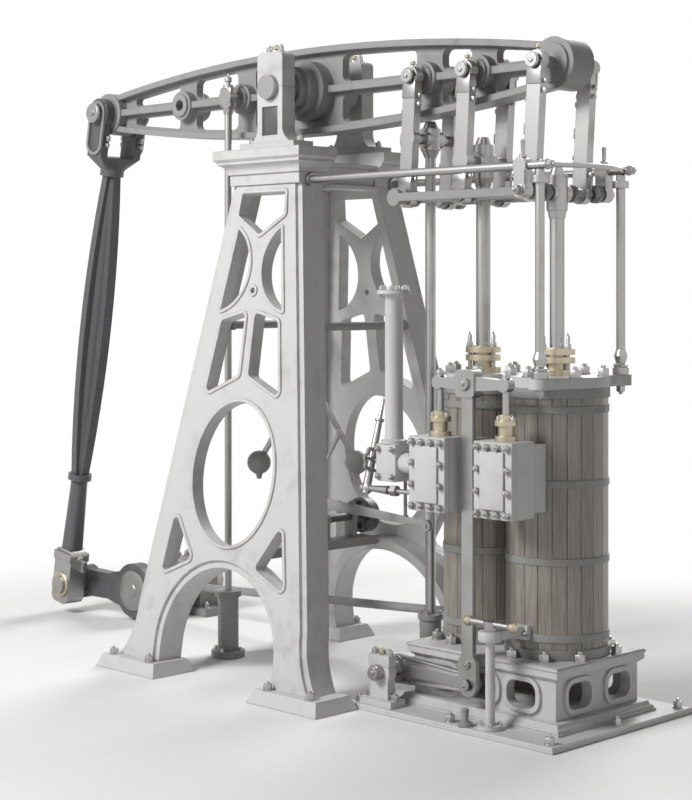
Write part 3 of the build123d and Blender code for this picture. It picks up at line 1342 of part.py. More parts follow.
# Injection stand and its handle
with BuildPart() as injection_stand:
    with Locations((stand_x, STAND_Y, BED_T + 9)):
        Cylinder(52, 18)
    with Locations((stand_x, STAND_Y, (BED_T + STAND_TOP_Z - 40) / 2)):
        Cylinder(20, STAND_TOP_Z - 40 - BED_T)
    with Locations((stand_x, STAND_Y, STAND_TOP_Z - 60)):
        Cylinder(34, 40)
injection_stand.part.label = "injection_stand"

with BuildPart() as injection_handle:
    with Locations((stand_x, STAND_Y, STAND_TOP_Z - 20)):
        Cylinder(28, 39)
    with Locations((stand_x, STAND_Y, STAND_TOP_Z - 12)):
        Cylinder(13, 240, rotation=ALONG_X)
injection_handle.part.label = "injection_handle"

pieces = [
    front_frame, back_frame, front_cornice, back_cornice, cross_girders, frame_stays,
    trunnion_pedestals, trunnion_caps, beam, trunnion_shaft, connecting_rod, big_end, crank,
    crankshaft, eccentric, eccentric_rod, crank_pedestal, crank_pedestal_cap, main_links,
    inner_links, pump_links, parallel_bars, radius_rods, guide_posts, guide_rails, rail_end_bar,
    radius_brackets, bed_plate, cylinder_base, inner_cylinder, outer_cylinder, inner_lagging,
    outer_lagging, inner_cover, outer_cover, piston_glands, air_pump, outer_piston_rod,
    inner_piston_rod, pump_rod, feed_rod, feed_pump, inner_valve_chest, outer_valve_chest,
    chest_covers, valve_glands, valve_crosshead, rocking_shaft, rocker_pedestals, steam_pipe,
    throttle_valve, governor_girder, governor, governor_drive, injection_stand, injection_handle,
]
os.makedirs("parts", exist_ok=True)
for piece in pieces:
    export_step(piece.part, f"parts/{piece.part.label}.step")
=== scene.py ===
# %% [markdown]
# # A compound beam engine
# The engine is already modelled as solid pieces that fit and move. This script loads them as a fixed
# frame, gives each one its finish, and adds what a fitter would add last: nuts, straps, staves, oil
# cups, mouldings. The solids could be drawn again here, but then looks and motion would drift apart, so
# they are loaded once and never moved. Everything is in metres. X runs along the beam to the cylinders,
# Y across to the far frame, Z is up.

# %% Load the frame
import json
from math import atan2, cos, pi, radians, sin, sqrt

import bmesh
import bpy
from mathutils import Matrix, Vector


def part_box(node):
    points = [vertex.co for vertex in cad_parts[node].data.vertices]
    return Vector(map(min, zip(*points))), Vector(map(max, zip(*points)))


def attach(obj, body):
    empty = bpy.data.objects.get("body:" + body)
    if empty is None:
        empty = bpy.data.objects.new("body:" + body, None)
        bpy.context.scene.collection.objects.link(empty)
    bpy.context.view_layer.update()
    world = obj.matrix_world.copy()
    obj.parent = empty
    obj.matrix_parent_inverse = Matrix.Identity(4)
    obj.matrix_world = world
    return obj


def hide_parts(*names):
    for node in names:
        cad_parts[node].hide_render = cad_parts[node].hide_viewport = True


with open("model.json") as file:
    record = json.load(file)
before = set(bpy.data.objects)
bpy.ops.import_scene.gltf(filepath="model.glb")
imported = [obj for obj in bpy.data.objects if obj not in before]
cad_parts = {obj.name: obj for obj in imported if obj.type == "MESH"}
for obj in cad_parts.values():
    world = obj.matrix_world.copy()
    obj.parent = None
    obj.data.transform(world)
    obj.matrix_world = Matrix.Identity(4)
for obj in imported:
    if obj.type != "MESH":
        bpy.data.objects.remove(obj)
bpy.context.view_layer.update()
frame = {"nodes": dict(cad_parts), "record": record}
scene = bpy.context.scene
scene.view_settings.view_transform = "Standard"
nodes = frame["nodes"]
slot_of_node = {part["node"]: part["material_slot"] for part in frame["record"]["subparts"]}

# %% [markdown]
# The picture looks at the engine's corner from standing height and keeps the uprights upright. A camera
# that tilts down would make them lean together, so this one is level, and its lens is shifted instead.

# %% Camera
EYE = Vector((6.187, -5.982, 1.835))
LOOK = Vector((-1, 1, 0))
LENS = 79.16
LENS_SHIFT = -0.1366
camera = bpy.data.objects.new("camera", bpy.data.cameras.new("camera"))
scene.collection.objects.link(camera)
camera.location = EYE
camera.rotation_euler = LOOK.to_track_quat("-Z", "Y").to_euler()
camera.data.sensor_fit = "VERTICAL"
camera.data.sensor_height = 36.0
camera.data.lens = LENS
camera.data.shift_y = LENS_SHIFT
scene.camera = camera
print("camera at", tuple(round(v, 2) for v in camera.location))

# %% [markdown]
# Finishes are sums of a few patterns. Each plus and times could be added and linked by hand, but a sum
# is easier to read as a sum. This class wraps a node's socket, and its +, - and * add the Math nodes.

# %% Shader sums
class Field:
    """A value that changes over a surface."""

    def __init__(self, sheet, socket):
        self.sheet = sheet
        self.socket = socket

    def _sum(self, operation, first, second):
        return self.sheet.node("ShaderNodeMath", {"operation": operation}, {0: first, 1: second})

    def __add__(self, other):
        return self._sum("ADD", self, other)

    __radd__ = __add__

    def __sub__(self, other):
        return self._sum("SUBTRACT", self, other)

    def __rsub__(self, other):
        return self._sum("SUBTRACT", other, self)

    def __mul__(self, other):
        return self._sum("MULTIPLY", self, other)

    __rmul__ = __mul__


print("sums ready")

# %% [markdown]
# Any other node comes from one method, which takes the node's kind, its settings, and what goes into
# its sockets. Each node could have its own five lines, but those would hide the recipe. The sky has a
# sheet of nodes too, so the method doesn't belong to materials alone.

# %% One way to add a node
class NodeSheet:
    """A node tree and the one way to add to it."""

    def __init__(self, tree):
        self.tree = tree

    def feed(self, socket, value):
        """A pattern is linked, a plain value is set, and a colour is set with full alpha."""
        if isinstance(value, Field):
            self.tree.links.new(value.socket, socket)
        elif socket.type == "RGBA":
            socket.default_value = (*value, 1.0)
        else:
            socket.default_value = value

    def node(self, kind, settings=None, sockets=None, out=0):
        """Any node: its settings come first, then the values or links of its sockets."""
        made = self.tree.nodes.new(kind)
        for name, value in (settings or {}).items():
            setattr(made, name, value)
        for key, value in (sockets or {}).items():
            self.feed(made.inputs[key], value)
        return Field(self, made.outputs[out])


print("nodes ready")

# %% [markdown]
# A finish is one material. Its patterns could be laid on by unwrapping each piece, but then every piece
# would need its own unwrapping. Here they are read at the point's own place on the piece, so they need
# none and don't stretch. Colours are mixed by a Mix node, because a Math node would turn them grey.

# %% A finish
MIX_FACTOR = 0
MIX_COLOURS = (6, 7)
MIX_COLOUR_OUT = 2


class Finish(NodeSheet):
    """One material and the patterns that feed it."""

    def __init__(self, name):
        self.material = bpy.data.materials.new(name)
        self.material.use_nodes = True
        super().__init__(self.material.node_tree)
        self.shader = self.tree.nodes["Principled BSDF"]

    def wire(self, **inputs):
        """Feeds the shader's own sockets."""
        for name, value in inputs.items():
            self.feed(self.shader.inputs[name.replace("_", " ")], value)

    def place(self):
        """Where a point is on the piece, in metres."""
        return self.node("ShaderNodeTexCoord", out="Object")

    def noise(self, scale, detail, where=None):
        """Cloudy pattern from 0 to 1."""
        sockets = {"Vector": where or self.place(), "Scale": scale, "Detail": detail}
        return self.node("ShaderNodeTexNoise", None, sockets)

    def stretched(self, scale):
        """The place, drawn out differently along each axis."""
        return self.node("ShaderNodeMapping", None, {"Vector": self.place(), "Scale": scale})

    def blend(self, share, first, second):
        """Colour between two others."""
        sockets = {MIX_FACTOR: share, MIX_COLOURS[0]: first, MIX_COLOURS[1]: second}
        return self.node("ShaderNodeMix", {"data_type": "RGBA"}, sockets, MIX_COLOUR_OUT)

    def soft_step(self, value, low, high):
        """0 below low, 1 above high, smooth between."""
        sockets = {"Value": value, "From Min": low, "From Max": high}
        return self.node("ShaderNodeMapRange", {"interpolation_type": "SMOOTHSTEP"}, sockets)

    def rounded(self, radius):
        """The surface's normal, as if each edge had this radius."""
        return self.node("ShaderNodeBevel", {"samples": 4}, {"Radius": radius})

    def edges(self, radius):
        """1 on an edge, 0 on the flat: how far the rounded normal leans from the plain one."""
        plain = self.node("ShaderNodeNewGeometry", out="Normal")
        sockets = {0: self.rounded(radius), 1: plain}
        match = self.node("ShaderNodeVectorMath", {"operation": "DOT_PRODUCT"}, sockets, "Value")
        return self.soft_step(1.0 - match, 0.01, 0.12)

    def surface(self, height, depth, edge):
        """Bumps on rounded edges."""
        sockets = {"Strength": 0.6, "Distance": depth, "Height": height, "Normal": self.rounded(edge)}
        return self.node("ShaderNodeBump", None, sockets)


print("finish ready")

# %% [markdown]
# The castings are oil-painted iron: sand-cast grain under the paint, a little grime where oil has run, and
# paint rubbed through to the grey iron along the edges, which darkens a pale casting and brightens a dark
# one. The wear could be painted on by hand, edge by edge. Instead a Bevel node rounds the normal near an
# edge, and where that leans away from the plain normal, the paint is thin. One recipe takes a colour and
# makes pale frames, dark rods and cranks, and the dark plates that paint the shade in the pedestals'
# recesses.

# %% Painted castings
BARE_IRON = (0.24, 0.24, 0.238)
RUBBED_EDGE = 0.006
CAST_EDGE = 0.005


def painted_iron(name, colour, grime, rough=0.5):
    """Oil paint on a casting."""
    paint = Finish(name)
    cloud = paint.noise(scale=2.2, detail=5.0)
    streak = paint.noise(scale=14.0, detail=4.0)
    grain = paint.noise(scale=240.0, detail=2.0)
    dirt = paint.soft_step(cloud * 0.6 + streak * 0.4, 0.5, 0.72)
    shade = paint.blend(dirt, colour, grime)
    lift = tuple(min(1.0, c * 1.12) for c in colour)
    coat = paint.blend(paint.soft_step(grain, 0.35, 0.8) * 0.35, shade, lift)
    rubbed = paint.edges(RUBBED_EDGE) * paint.soft_step(streak, 0.25, 0.6)
    paint.wire(
        Base_Color=paint.blend(rubbed * 0.75, coat, BARE_IRON),
        Roughness=rough + 0.16 * dirt - 0.08 * grain,
        Normal=paint.surface(grain * 0.5 + streak * 0.5, depth=0.0012, edge=CAST_EDGE),
        Specular_IOR_Level=0.4,
    )
    return paint.material


pale_iron = painted_iron("pale_iron", (0.58, 0.58, 0.57), (0.44, 0.436, 0.428))
mid_iron = painted_iron("mid_iron", (0.29, 0.29, 0.288), (0.2, 0.198, 0.194))
dark_iron = painted_iron("dark_iron", (0.1, 0.102, 0.105), (0.06, 0.059, 0.057), 0.42)
print("castings:", pale_iron.name, mid_iron.name, dark_iron.name)

# %% [markdown]
# The bright parts are turned or filed, and kept from rust with oil. One even gloss would look like a
# toy's, so fine level marks, such as a tool leaves round a rod, break up the shine, and a film of old
# oil browns it in patches. The marks could be drawn line by line. They are a cloudy noise squeezed
# upwards instead, because noise doesn't repeat.

# %% Bright steel and bronze
TOOL_MARKS = (60.0, 60.0, 900.0)


def bright_metal(name, colour, film, rough):
    """Bright metal under a film of oil."""
    metal = Finish(name)
    cloud = metal.noise(scale=5.0, detail=4.0)
    scratch = metal.noise(1.0, 3.0, metal.stretched(TOOL_MARKS))
    oil = metal.soft_step(cloud, 0.48, 0.75)
    metal.wire(
        Base_Color=metal.blend(oil * 0.6, colour, film),
        Metallic=1.0,
        Roughness=rough + 0.12 * oil + 0.1 * scratch,
        Normal=metal.surface(scratch, depth=0.0002, edge=0.003),
    )
    return metal.material


steel = bright_metal("filed_steel", (0.38, 0.378, 0.372), (0.25, 0.238, 0.215), 0.28)
bronze = bright_metal("bearing_bronze", (0.5, 0.44, 0.33), (0.33, 0.285, 0.2), 0.3)
print("bright metals:", steel.name, bronze.name)

# %% [markdown]
# The cylinders wear a jacket of narrow varnished staves. The grain runs up each stave, so it is a noise
# drawn out upwards, and the varnish is the shader's own coat. Each stave is a slightly different brown.
# A material for each would do that too, but one is enough: every separate stave of the mesh draws its
# own number, which shifts its colour.

# %% Varnished staves
WOOD_GRAIN = (34.0, 34.0, 1.6)


def varnished_wood(name, light, dark):
    """Dark straight-grained wood."""
    wood = Finish(name)
    grain = wood.noise(4.0, 6.0, wood.stretched(WOOD_GRAIN))
    board = wood.node("ShaderNodeNewGeometry", out="Random Per Island")
    wood.wire(
        Base_Color=wood.blend(wood.soft_step(grain, 0.3, 0.7) * 0.6 + 0.4 * board, dark, light),
        Roughness=0.3 + 0.2 * grain,
        Coat_Weight=0.4,
        Coat_Roughness=0.16,
        Normal=wood.surface(grain, depth=0.0008, edge=0.002),
    )
    return wood.material


lagging = varnished_wood("stave_wood", (0.33, 0.298, 0.262), (0.16, 0.142, 0.122))
print("wood:", lagging.name)

# %% [markdown]
# Most pieces take their finish from their material in the record. Some castings are plainly lighter or
# darker than the rest in the picture, and those are named here. Every piece could be given its finish
# by hand, but a rule with a few exceptions is shorter, and leaves none bare.

# %% Finishes on the frame
PALE = ("front_frame back_frame front_cornice back_cornice trunnion_pedestals trunnion_caps cross_girders "
        "cylinder_base inner_valve_chest outer_valve_chest chest_covers inner_cover outer_cover "
        "bed_plate rocker_pedestals injection_stand").split()
DARK = "connecting_rod crank eccentric governor_drive".split()
GREY = "eccentric_rod radius_rods parallel_bars".split()
finish_of_slot = {"cast_iron": mid_iron, "lagging": lagging, "gland_brass": bronze}
for name, node in nodes.items():
    if name in PALE:
        finish = pale_iron
    elif name in DARK:
        finish = dark_iron
    elif name in GREY:
        finish = mid_iron
    else:
        finish = finish_of_slot.get(slot_of_node[name], steel)
    node.data.materials.clear()
    node.data.materials.append(finish)
print("finished", len(nodes), "nodes")

# %% [markdown]
# Fittings are made the way a workshop makes them. A lathe turns an outline round an axis, and a saw
# cuts a block whose edges are then eased. Blender's own cylinder and cube have neither outline nor
# eased edges.

# %% Lathe and saw
def turned(outline, sides=24, loop=False):
    """Shape of revolution about Z through (radius, height) points, from the bottom up."""
    shape = bmesh.new()
    rings = []
    for radius, height in outline:
        angles = [2 * pi * i / sides for i in range(sides if radius else 1)]
        rings.append([shape.verts.new((radius * cos(a), radius * sin(a), height)) for a in angles])
    pairs = list(zip(rings, rings[1:]))
    if loop:
        pairs.append((rings[-1], rings[0]))
    for low, high in pairs:
        for i in range(sides):
            j = (i + 1) % sides
            corners = (low[i % len(low)], low[j % len(low)], high[j % len(high)], high[i % len(high)])
            shape.faces.new(dict.fromkeys(corners))
    return shape


def block(size, edge):
    """Sawn block with eased edges."""
    shape = bmesh.new()
    bmesh.ops.create_cube(shape, size=1.0)
    bmesh.ops.scale(shape, vec=size, verts=shape.verts)
    bmesh.ops.bevel(shape, geom=shape.edges[:], offset=edge, segments=2, affect="EDGES", profile=0.5)
    return shape


print("lathe and saw ready")

# %% [markdown]
# Small fittings repeat by the hundred: a nut is a nut wherever it sits. Each could be an object of its
# own, but then each would need its own finish and body. So a kind is made once and stamped wherever it
# is wanted, and one piece holds a whole row.

# %% Stamp
def at(place, up=(0, 0, 1), turn=0.0):
    """Matrix that stands a shape on a place, pointing up."""
    lean = Vector(up).to_track_quat("Z", "Y").to_matrix().to_4x4()
    return Matrix.Translation(place) @ lean @ Matrix.Rotation(turn, 4, "Z")


def ring(centre, radius, count, start=0.0, up=(0, 0, 1)):
    """Places evenly round an axis."""
    frame_of = at(centre, up)
    turns = [start + 2 * pi * i / count for i in range(count)]
    return [frame_of @ Matrix.Translation((radius * cos(a), radius * sin(a), 0)) for a in turns]


def stamp(target, pattern, places):
    """Copies of a shape added to another one."""
    mesh = bpy.data.meshes.new("pattern")
    pattern.to_mesh(mesh)
    for place in places:
        first = len(target.verts)
        target.from_mesh(mesh)
        target.verts.ensure_lookup_table()
        bmesh.ops.transform(target, matrix=place, verts=target.verts[first:])
    bpy.data.meshes.remove(mesh)
    return target


def copies(pattern, places):
    """New shape made of copies of another one."""
    return stamp(bmesh.new(), pattern, places)


HERE = [Matrix.Identity(4)]
print("stamp ready")

# %% [markdown]
# A shape becomes a piece when it has a finish and a body to ride on. Smooth shading alone would smear
# the light round a nut's corners, and flat shading would show the sides of a turned pin. So each edge
# is smooth or sharp by the angle between its two faces.

# %% Piece
SHARP = radians(32)


def piece(name, body, finish, shape):
    """One finished piece on the body that carries it."""
    bmesh.ops.recalc_face_normals(shape, faces=shape.faces)
    for edge in shape.edges:
        edge.smooth = edge.calc_face_angle(0.0) < SHARP
    for face in shape.faces:
        face.smooth = True
    mesh = bpy.data.meshes.new(name)
    shape.to_mesh(mesh)
    shape.free()
    made = bpy.data.objects.new(name, mesh)
    scene.collection.objects.link(made)
    mesh.materials.append(finish)
    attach(made, body)
    return made


def middle(node):
    """Middle of a node's box."""
    low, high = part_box(node)
    return (low + high) / 2


def on_axis(axis, height):
    """Point on an upright axis."""
    return Vector((axis.x, axis.y, height))


# %% [markdown]
# A hand-forged hexagon nut has its corners turned off, and the bolt's rounded end stands through it.
# Oil cups and pin collars are plain turning. A nut could be a six-sided cylinder with its edges picked
# out and bevelled, but the lathe with six sides gives the chamfer as one more point of the outline.
# Each fitting is sunk a little into what it sits on, so that no gap shows.

# %% Stock fittings
SINK = 0.001


def nut(across):
    """Chamfered hexagon nut with a washer and the end of its bolt."""
    corner = across / sqrt(3)
    tall = 0.82 * across
    washer = 0.12 * across
    wide = 0.64 * across
    bolt = 0.27 * across
    shape = turned([(0, -SINK), (wide, -SINK), (wide, washer), (0, washer)], 16)
    hexagon = [(0, washer), (corner, washer), (corner, 0.84 * tall), (0.84 * corner, tall), (0, tall)]
    stamp(shape, turned(hexagon, 6), HERE)
    end = [(0, 0.9 * tall), (bolt, 0.9 * tall), (bolt, 1.2 * tall)]
    end += [(0.17 * across, 1.34 * tall), (0, 1.38 * tall)]
    return stamp(shape, turned(end, 10), HERE)


def nuts(name, body, across, places):
    """A row of nuts as one piece."""
    return piece(name, body, steel, copies(nut(across), places))


def oil_cup(size):
    """Lidded oil cup on a stem."""
    outline = [(0, -0.1), (0.3, -0.1), (0.22, 0.5), (0.7, 0.75), (0.78, 1.5), (0.7, 1.6), (0.25, 1.7)]
    outline += [(0.2, 1.95), (0, 2.0)]
    return turned([(r * size, h * size) for r, h in outline], 16)


def collar(radius, thick):
    """Pin collar with a rounded rim and a centre mark."""
    outline = [(0, -SINK), (radius, -SINK), (radius, 0.6 * thick), (0.9 * radius, thick)]
    outline += [(0.34 * radius, thick), (0.3 * radius, 1.5 * thick), (0, 1.6 * thick)]
    return turned(outline, 24)


print("a nut has", len(nut(0.04).faces), "faces")

# %% [markdown]
# Each cylinder wears a jacket of upright staves, planed to the curve. Their joints could be lines in a
# bump on a plain drum, but those would vanish at the drum's outline. So each stave is a board of its
# own with eased corners, and the boards stand a hair apart, which shows as a dark line.

# %% Staves
JOINT = 0.0006
STAVE_T = 0.016
STAVE_EASE = 0.002


def staves(radius, low, high, boards):
    """Ring of separate staves about Z."""
    shape = bmesh.new()
    half = pi / boards - JOINT / radius
    flat = 0.95 * half
    eased = radius - STAVE_EASE
    back = radius - STAVE_T
    section = [(-half, eased), (-flat, radius), (0, radius), (flat, radius), (half, eased)]
    section += [(half, back), (-half, back)]
    for board in range(boards):
        turn = 2 * pi * board / boards
        corners = [(r * cos(turn + a), r * sin(turn + a)) for a, r in section]
        feet = [shape.verts.new((x, y, low)) for x, y in corners]
        heads = [shape.verts.new((x, y, high)) for x, y in corners]
        shape.faces.new(feet)
        shape.faces.new(heads)
        for i in range(len(corners)):
            j = (i + 1) % len(corners)
            shape.faces.new((feet[i], feet[j], heads[j], heads[i]))
    return shape


print("staves", STAVE_T, "m thick")

# %% [markdown]
# Iron hoops hold the staves, and felt behind them keeps the heat in and the joints dark. A hoop could
# be a curve with a bevel, but a band turned from four points has the flat face of strip iron. The
# staves take the place of the plain jacket, whose box gives their radius and height.

# %% Jackets, hoops and felt
HOOP_T = 0.004
HOOP_W = 0.034
HOOP_LEVELS = (0.03, 0.345, 0.665, 0.97)
BOARDS = {"outer": 22, "inner": 18}


def stave_jacket(name, node, boards):
    """Staves, hoops and felt in place of the plain jacket."""
    low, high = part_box(node)
    radius = (high.x - low.x) / 2 - HOOP_T
    axis = on_axis((low + high) / 2, 0)
    shape = staves(radius, low.z, high.z, boards)
    bmesh.ops.translate(shape, vec=axis, verts=shape.verts)
    made = piece(name + "_staves", "frame", lagging, shape)
    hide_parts(node)
    inside = radius - 0.004
    outside = radius + HOOP_T
    band = [(inside, 0), (outside, 0.002), (outside, HOOP_W - 0.002), (inside, HOOP_W)]
    levels = [low.z + share * (high.z - low.z - HOOP_W) for share in HOOP_LEVELS]
    hoops = copies(turned(band, 64, loop=True), [at(axis + Vector((0, 0, level))) for level in levels])
    piece(name + "_hoops", "frame", mid_iron, hoops)
    thin, thick = radius - 0.03, radius - 0.02
    felt = [(thin, low.z), (thick, low.z), (thick, high.z), (thin, high.z)]
    piece(name + "_felt", "frame", dark_iron, copies(turned(felt, 48, loop=True), [at(axis)]))


for name, boards in BOARDS.items():
    stave_jacket(name, name + "_lagging", boards)
print("staves:", sum(BOARDS.values()))

# %% [markdown]
# The covers are bolted down all round, the glands are drawn down by long studs with pointed ends, and
# the feet of the cylinders are held to the base by large nuts. Each could be set by hand, but a ring
# needs only its centre, its radius and a count. The nuts of the feet go by listed angles instead,
# because the two feet crowd each other, and one that would miss the base is left out.

# %% Cylinder heads and feet
INNER = middle("inner_cylinder")
OUTER = middle("outer_cylinder")
COVER_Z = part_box("inner_cover")[1].z
BASE_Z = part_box("cylinder_base")[1].z
GLAND_Z = COVER_Z + 0.116
COVER_NUT = 0.043
base_low, base_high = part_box("cylinder_base")
heads = ring(on_axis(INNER, COVER_Z), 0.154, 6, radians(-58))
heads += ring(on_axis(OUTER, COVER_Z), 0.198, 6, radians(-29))
nuts("cover_nuts", "frame", COVER_NUT, heads)
feet = []
for degrees_round in (-100, -64, -30, 30, 64, 100):
    a = radians(degrees_round)
    feet.append(at(on_axis(OUTER, BASE_Z) + 0.254 * Vector((cos(a), sin(a), 0))))
    a = pi - 0.9 * a
    feet.append(at(on_axis(INNER, BASE_Z) + 0.212 * Vector((cos(a), sin(a), 0))))
on_base = [place for place in feet if base_low.x + 0.03 < place.translation.x]
nuts("foot_nuts", "frame", 0.042, on_base)
stud = [(0, -0.09), (0.009, -0.09), (0.009, 0.05), (0.0, 0.072)]
stud_places = [place for axis in (INNER, OUTER) for place in ring(on_axis(axis, GLAND_Z), 0.062, 3, -1.1)]
piece("gland_studs", "frame", steel, copies(turned(stud, 12), stud_places))
nuts("gland_nuts", "frame", 0.026, stud_places)
print("cylinder nuts:", len(heads) + len(on_base) + len(stud_places))

# %% [markdown]
# The base wears mouldings like a piece of furniture. A curve with the outline as its bevel would make
# one, but it pinches at square corners. Here the outline is carried round a rectangle point by point,
# and the corners are mitred by themselves.

# %% Base mouldings
def joined(loops):
    """Skin over loops of points, each joined to the next and the last to the first."""
    shape = bmesh.new()
    rows = [[shape.verts.new(point) for point in loop] for loop in loops]
    for first, second in zip(rows, rows[1:] + rows[:1]):
        for i in range(len(first)):
            j = (i + 1) % len(first)
            shape.faces.new((first[i], first[j], second[j], second[i]))
    return shape


def moulding(low, high, outline):
    """Closed outline of (outset, height) points carried round the box from low to high."""
    loops = []
    for out, z in outline:
        left, right = low.x - out, high.x + out
        near, far = low.y - out, high.y + out
        loops.append([(left, near, z), (right, near, z), (right, far, z), (left, far, z)])
    return joined(loops)


skirt = [(-0.004, -SINK), (0.036, -SINK), (0.036, 0.009), (0.03, 0.011), (0.028, 0.02), (0.015, 0.03)]
skirt += [(0.012, 0.042), (0.003, 0.044), (-0.004, 0.043)]
waist = [(-0.03, 0.205), (-0.021, 0.205), (-0.018, 0.211), (-0.009, 0.216), (-0.005, 0.223)]
waist.append((-0.03, 0.223))
lip = [(-0.004, 0.25), (0.004, 0.251), (0.006, 0.257), (0.003, 0.2615), (-0.004, 0.262)]
trim = bmesh.new()
for outline in (skirt, waist, lip):
    raised = [(out, base_low.z + z) for out, z in outline]
    stamp(trim, moulding(base_low, base_high, raised), HERE)
piece("base_mouldings", "frame", pale_iron, trim)
print("mouldings round", round(base_high.x - base_low.x, 3), "m")

# %% [markdown]
# A steam chest is opened to set the valve, so its cover has a close row of nuts on a flat border, round
# a raised panel. A ring of nuts wouldn't follow an oblong, so the places are listed once, about the
# middle of a cover, and moved to both chests.

# %% Valve chests
chest_low, chest_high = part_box("chest_covers")
COVER_FACE = chest_low.y + 0.008
CHEST_PANEL = (0.128, 0.008, 0.242)
CHEST_Z = (chest_low.z + chest_high.z) / 2
chest_x = [middle("inner_valve_chest").x, middle("outer_valve_chest").x]
border = [(x, z) for x in (-0.08, -0.027, 0.027, 0.08) for z in (-0.137, 0.137)]
border += [(x, z) for x in (-0.08, 0.08) for z in (-0.046, 0.046)]
places = [at((cx + x, COVER_FACE, CHEST_Z + z), (0, -1, 0)) for cx in chest_x for x, z in border]
nuts("chest_nuts", "frame", 0.026, places)
panel_places = [at((cx, COVER_FACE - 0.006, CHEST_Z)) for cx in chest_x]
piece("chest_panels", "frame", pale_iron, copies(block(CHEST_PANEL, 0.003), panel_places))
gland_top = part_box("valve_glands")[1].z
VALVE_Y = middle("valve_glands").y
gland_places = [place for cx in chest_x for place in ring((cx, VALVE_Y, gland_top - 0.024), 0.038, 2)]
nuts("valve_gland_nuts", "frame", 0.02, gland_places)
print("chest nuts:", len(places))

# %% [markdown]
# The main bearings are split blocks: a cap on two or four bolts, with an oil cup between them. In the
# recess of each beam pedestal, below the bearing, a dark plate paints the shade that falls there. The
# heights could be typed in, but most are read from the boxes of the solids, so that nuts and cups stay
# seated if a cap changes.

# %% Bearing caps
TRUNNION_Z = 2.805
PEDESTAL_Y = 0.268
ROCKER_Y = 0.425
SIDES = (-1, 1)
cap_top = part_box("trunnion_caps")[1].z
sole_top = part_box("front_cornice")[1].z + 0.034
crank_mid = on_axis(middle("crank_pedestal_cap"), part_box("crank_pedestal_cap")[1].z)
crank_sole = on_axis(crank_mid, 0.046)
rocker = middle("rocker_pedestals")
rocker_low, rocker_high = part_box("rocker_pedestals")
cap_bolts = [at((x, side * PEDESTAL_Y, cap_top)) for side in SIDES for x in (-0.04, 0.04)]
cap_bolts += [at(crank_mid + Vector((x, y, 0))) for x in (-0.08, 0.08) for y in (-0.035, 0.035)]
sole_bolts = [at((x, side * PEDESTAL_Y, sole_top)) for side in SIDES for x in (-0.168, 0.168)]
sole_bolts += [at(crank_sole + Vector((x, y, 0))) for x in (-0.185, 0.185) for y in (-0.05, 0.05)]
rocker_sole = rocker_low.z + 0.03
sole_bolts += [at((rocker.x + x, side * ROCKER_Y, rocker_sole)) for side in SIDES for x in (-0.074, 0.074)]
cups = [at((0, side * PEDESTAL_Y, cap_top)) for side in SIDES]
cups.append(at(crank_mid))
cups += [at((rocker.x, side * ROCKER_Y, rocker_high.z)) for side in SIDES]
nuts("cap_bolts", "frame", 0.034, cap_bolts)
nuts("sole_bolts", "frame", 0.03, sole_bolts)
piece("bearing_cups", "frame", bronze, copies(oil_cup(0.022), cups))
# Painted shade: a dark plate sunk in each pedestal's recess stands for the shadow inside it.
SHADE_PLATE_Y = 0.299
SHADE_PLATE_Z = 2.6445
PEDESTAL_SHADE_PLATE = (0.1, 0.006, 0.129)
shade_plate_places = [Matrix.Translation((0, side * SHADE_PLATE_Y, SHADE_PLATE_Z)) for side in SIDES]
piece("pedestal_recess_shade", "frame", dark_iron, copies(block(PEDESTAL_SHADE_PLATE, 0.002), shade_plate_places))
print("bearings:", len(cups))

# %% [markdown]
# Holding-down bolts run deep below the engine, and only their nuts show, on the plinths and the bed
# plate. Whole bolts could be made, but they would stretch the part below the floor for nothing. On the
# bed the places are measured in from its edges, as a fitter marks them. The small nuts of the pumps are
# set with them.

# %% Holding-down nuts
PLINTH_TOP = 0.062
PLINTH_Y = 0.706
bed_low, bed_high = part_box("bed_plate")
holding = [at((x, side * PLINTH_Y, PLINTH_TOP)) for x in (-0.69, -0.42, 0.42, 0.69) for side in SIDES]
bed_x = [bed_low.x + 0.05, (bed_low.x + bed_high.x) / 2, bed_high.x - 0.05]
holding += [at((x, y, bed_high.z)) for x in bed_x for y in (bed_low.y + 0.045, bed_high.y - 0.045)]
holding.append(at((bed_high.x - 0.05, 0, bed_high.z)))
nuts("holding_down_nuts", "frame", 0.036, holding)
air_top = on_axis(middle("air_pump"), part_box("air_pump")[1].z)
pump_bolts = ring(on_axis(middle("feed_pump"), 0.032), 0.068, 4, 0.4) + ring(air_top, 0.044, 4, 0.4)
nuts("pump_nuts", "frame", 0.018, pump_bolts)
print("holding-down nuts:", len(holding))

# %% [markdown]
# The steam pipe is one tall casting, hollow from end to end. A tube with discs on it would show a hard
# line where they meet, so one lathe outline makes it all, with a fillet at each flange. It takes the
# place of the plain pipe.

# %% Steam pipe
pipe = middle("steam_pipe")
PIPE_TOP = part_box("steam_pipe")[1].z
VALVE_TOP = 1.165
BORE_R = 0.032
column = [
    (BORE_R, VALVE_TOP - SINK),
    (0.058, VALVE_TOP - SINK),
    (0.058, VALVE_TOP + 0.014),
    (0.043, VALVE_TOP + 0.02),
    (0.04, VALVE_TOP + 0.05),
    (0.04, PIPE_TOP - 0.034),
    (0.047, PIPE_TOP - 0.02),
    (0.074, PIPE_TOP - 0.018),
    (0.074, PIPE_TOP),
    (BORE_R, PIPE_TOP),
]
pipe_shape = copies(turned(column, 40, loop=True), [at(on_axis(pipe, 0))])
steam_column = piece("steam_column", "frame", pale_iron, pipe_shape)
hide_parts("steam_pipe")
nuts("pipe_nuts", "frame", 0.02, ring(on_axis(pipe, PIPE_TOP), 0.058, 6))
print("steam pipe to", round(PIPE_TOP, 3))

# %% [markdown]
# The pipe stands on a square stop valve whose neck is bolted to the first chest. The valve is a block
# with a turned neck, and takes the place of the plain valve. A Boolean could merge the two, but where
# one starts inside the other, the eye sees no difference.

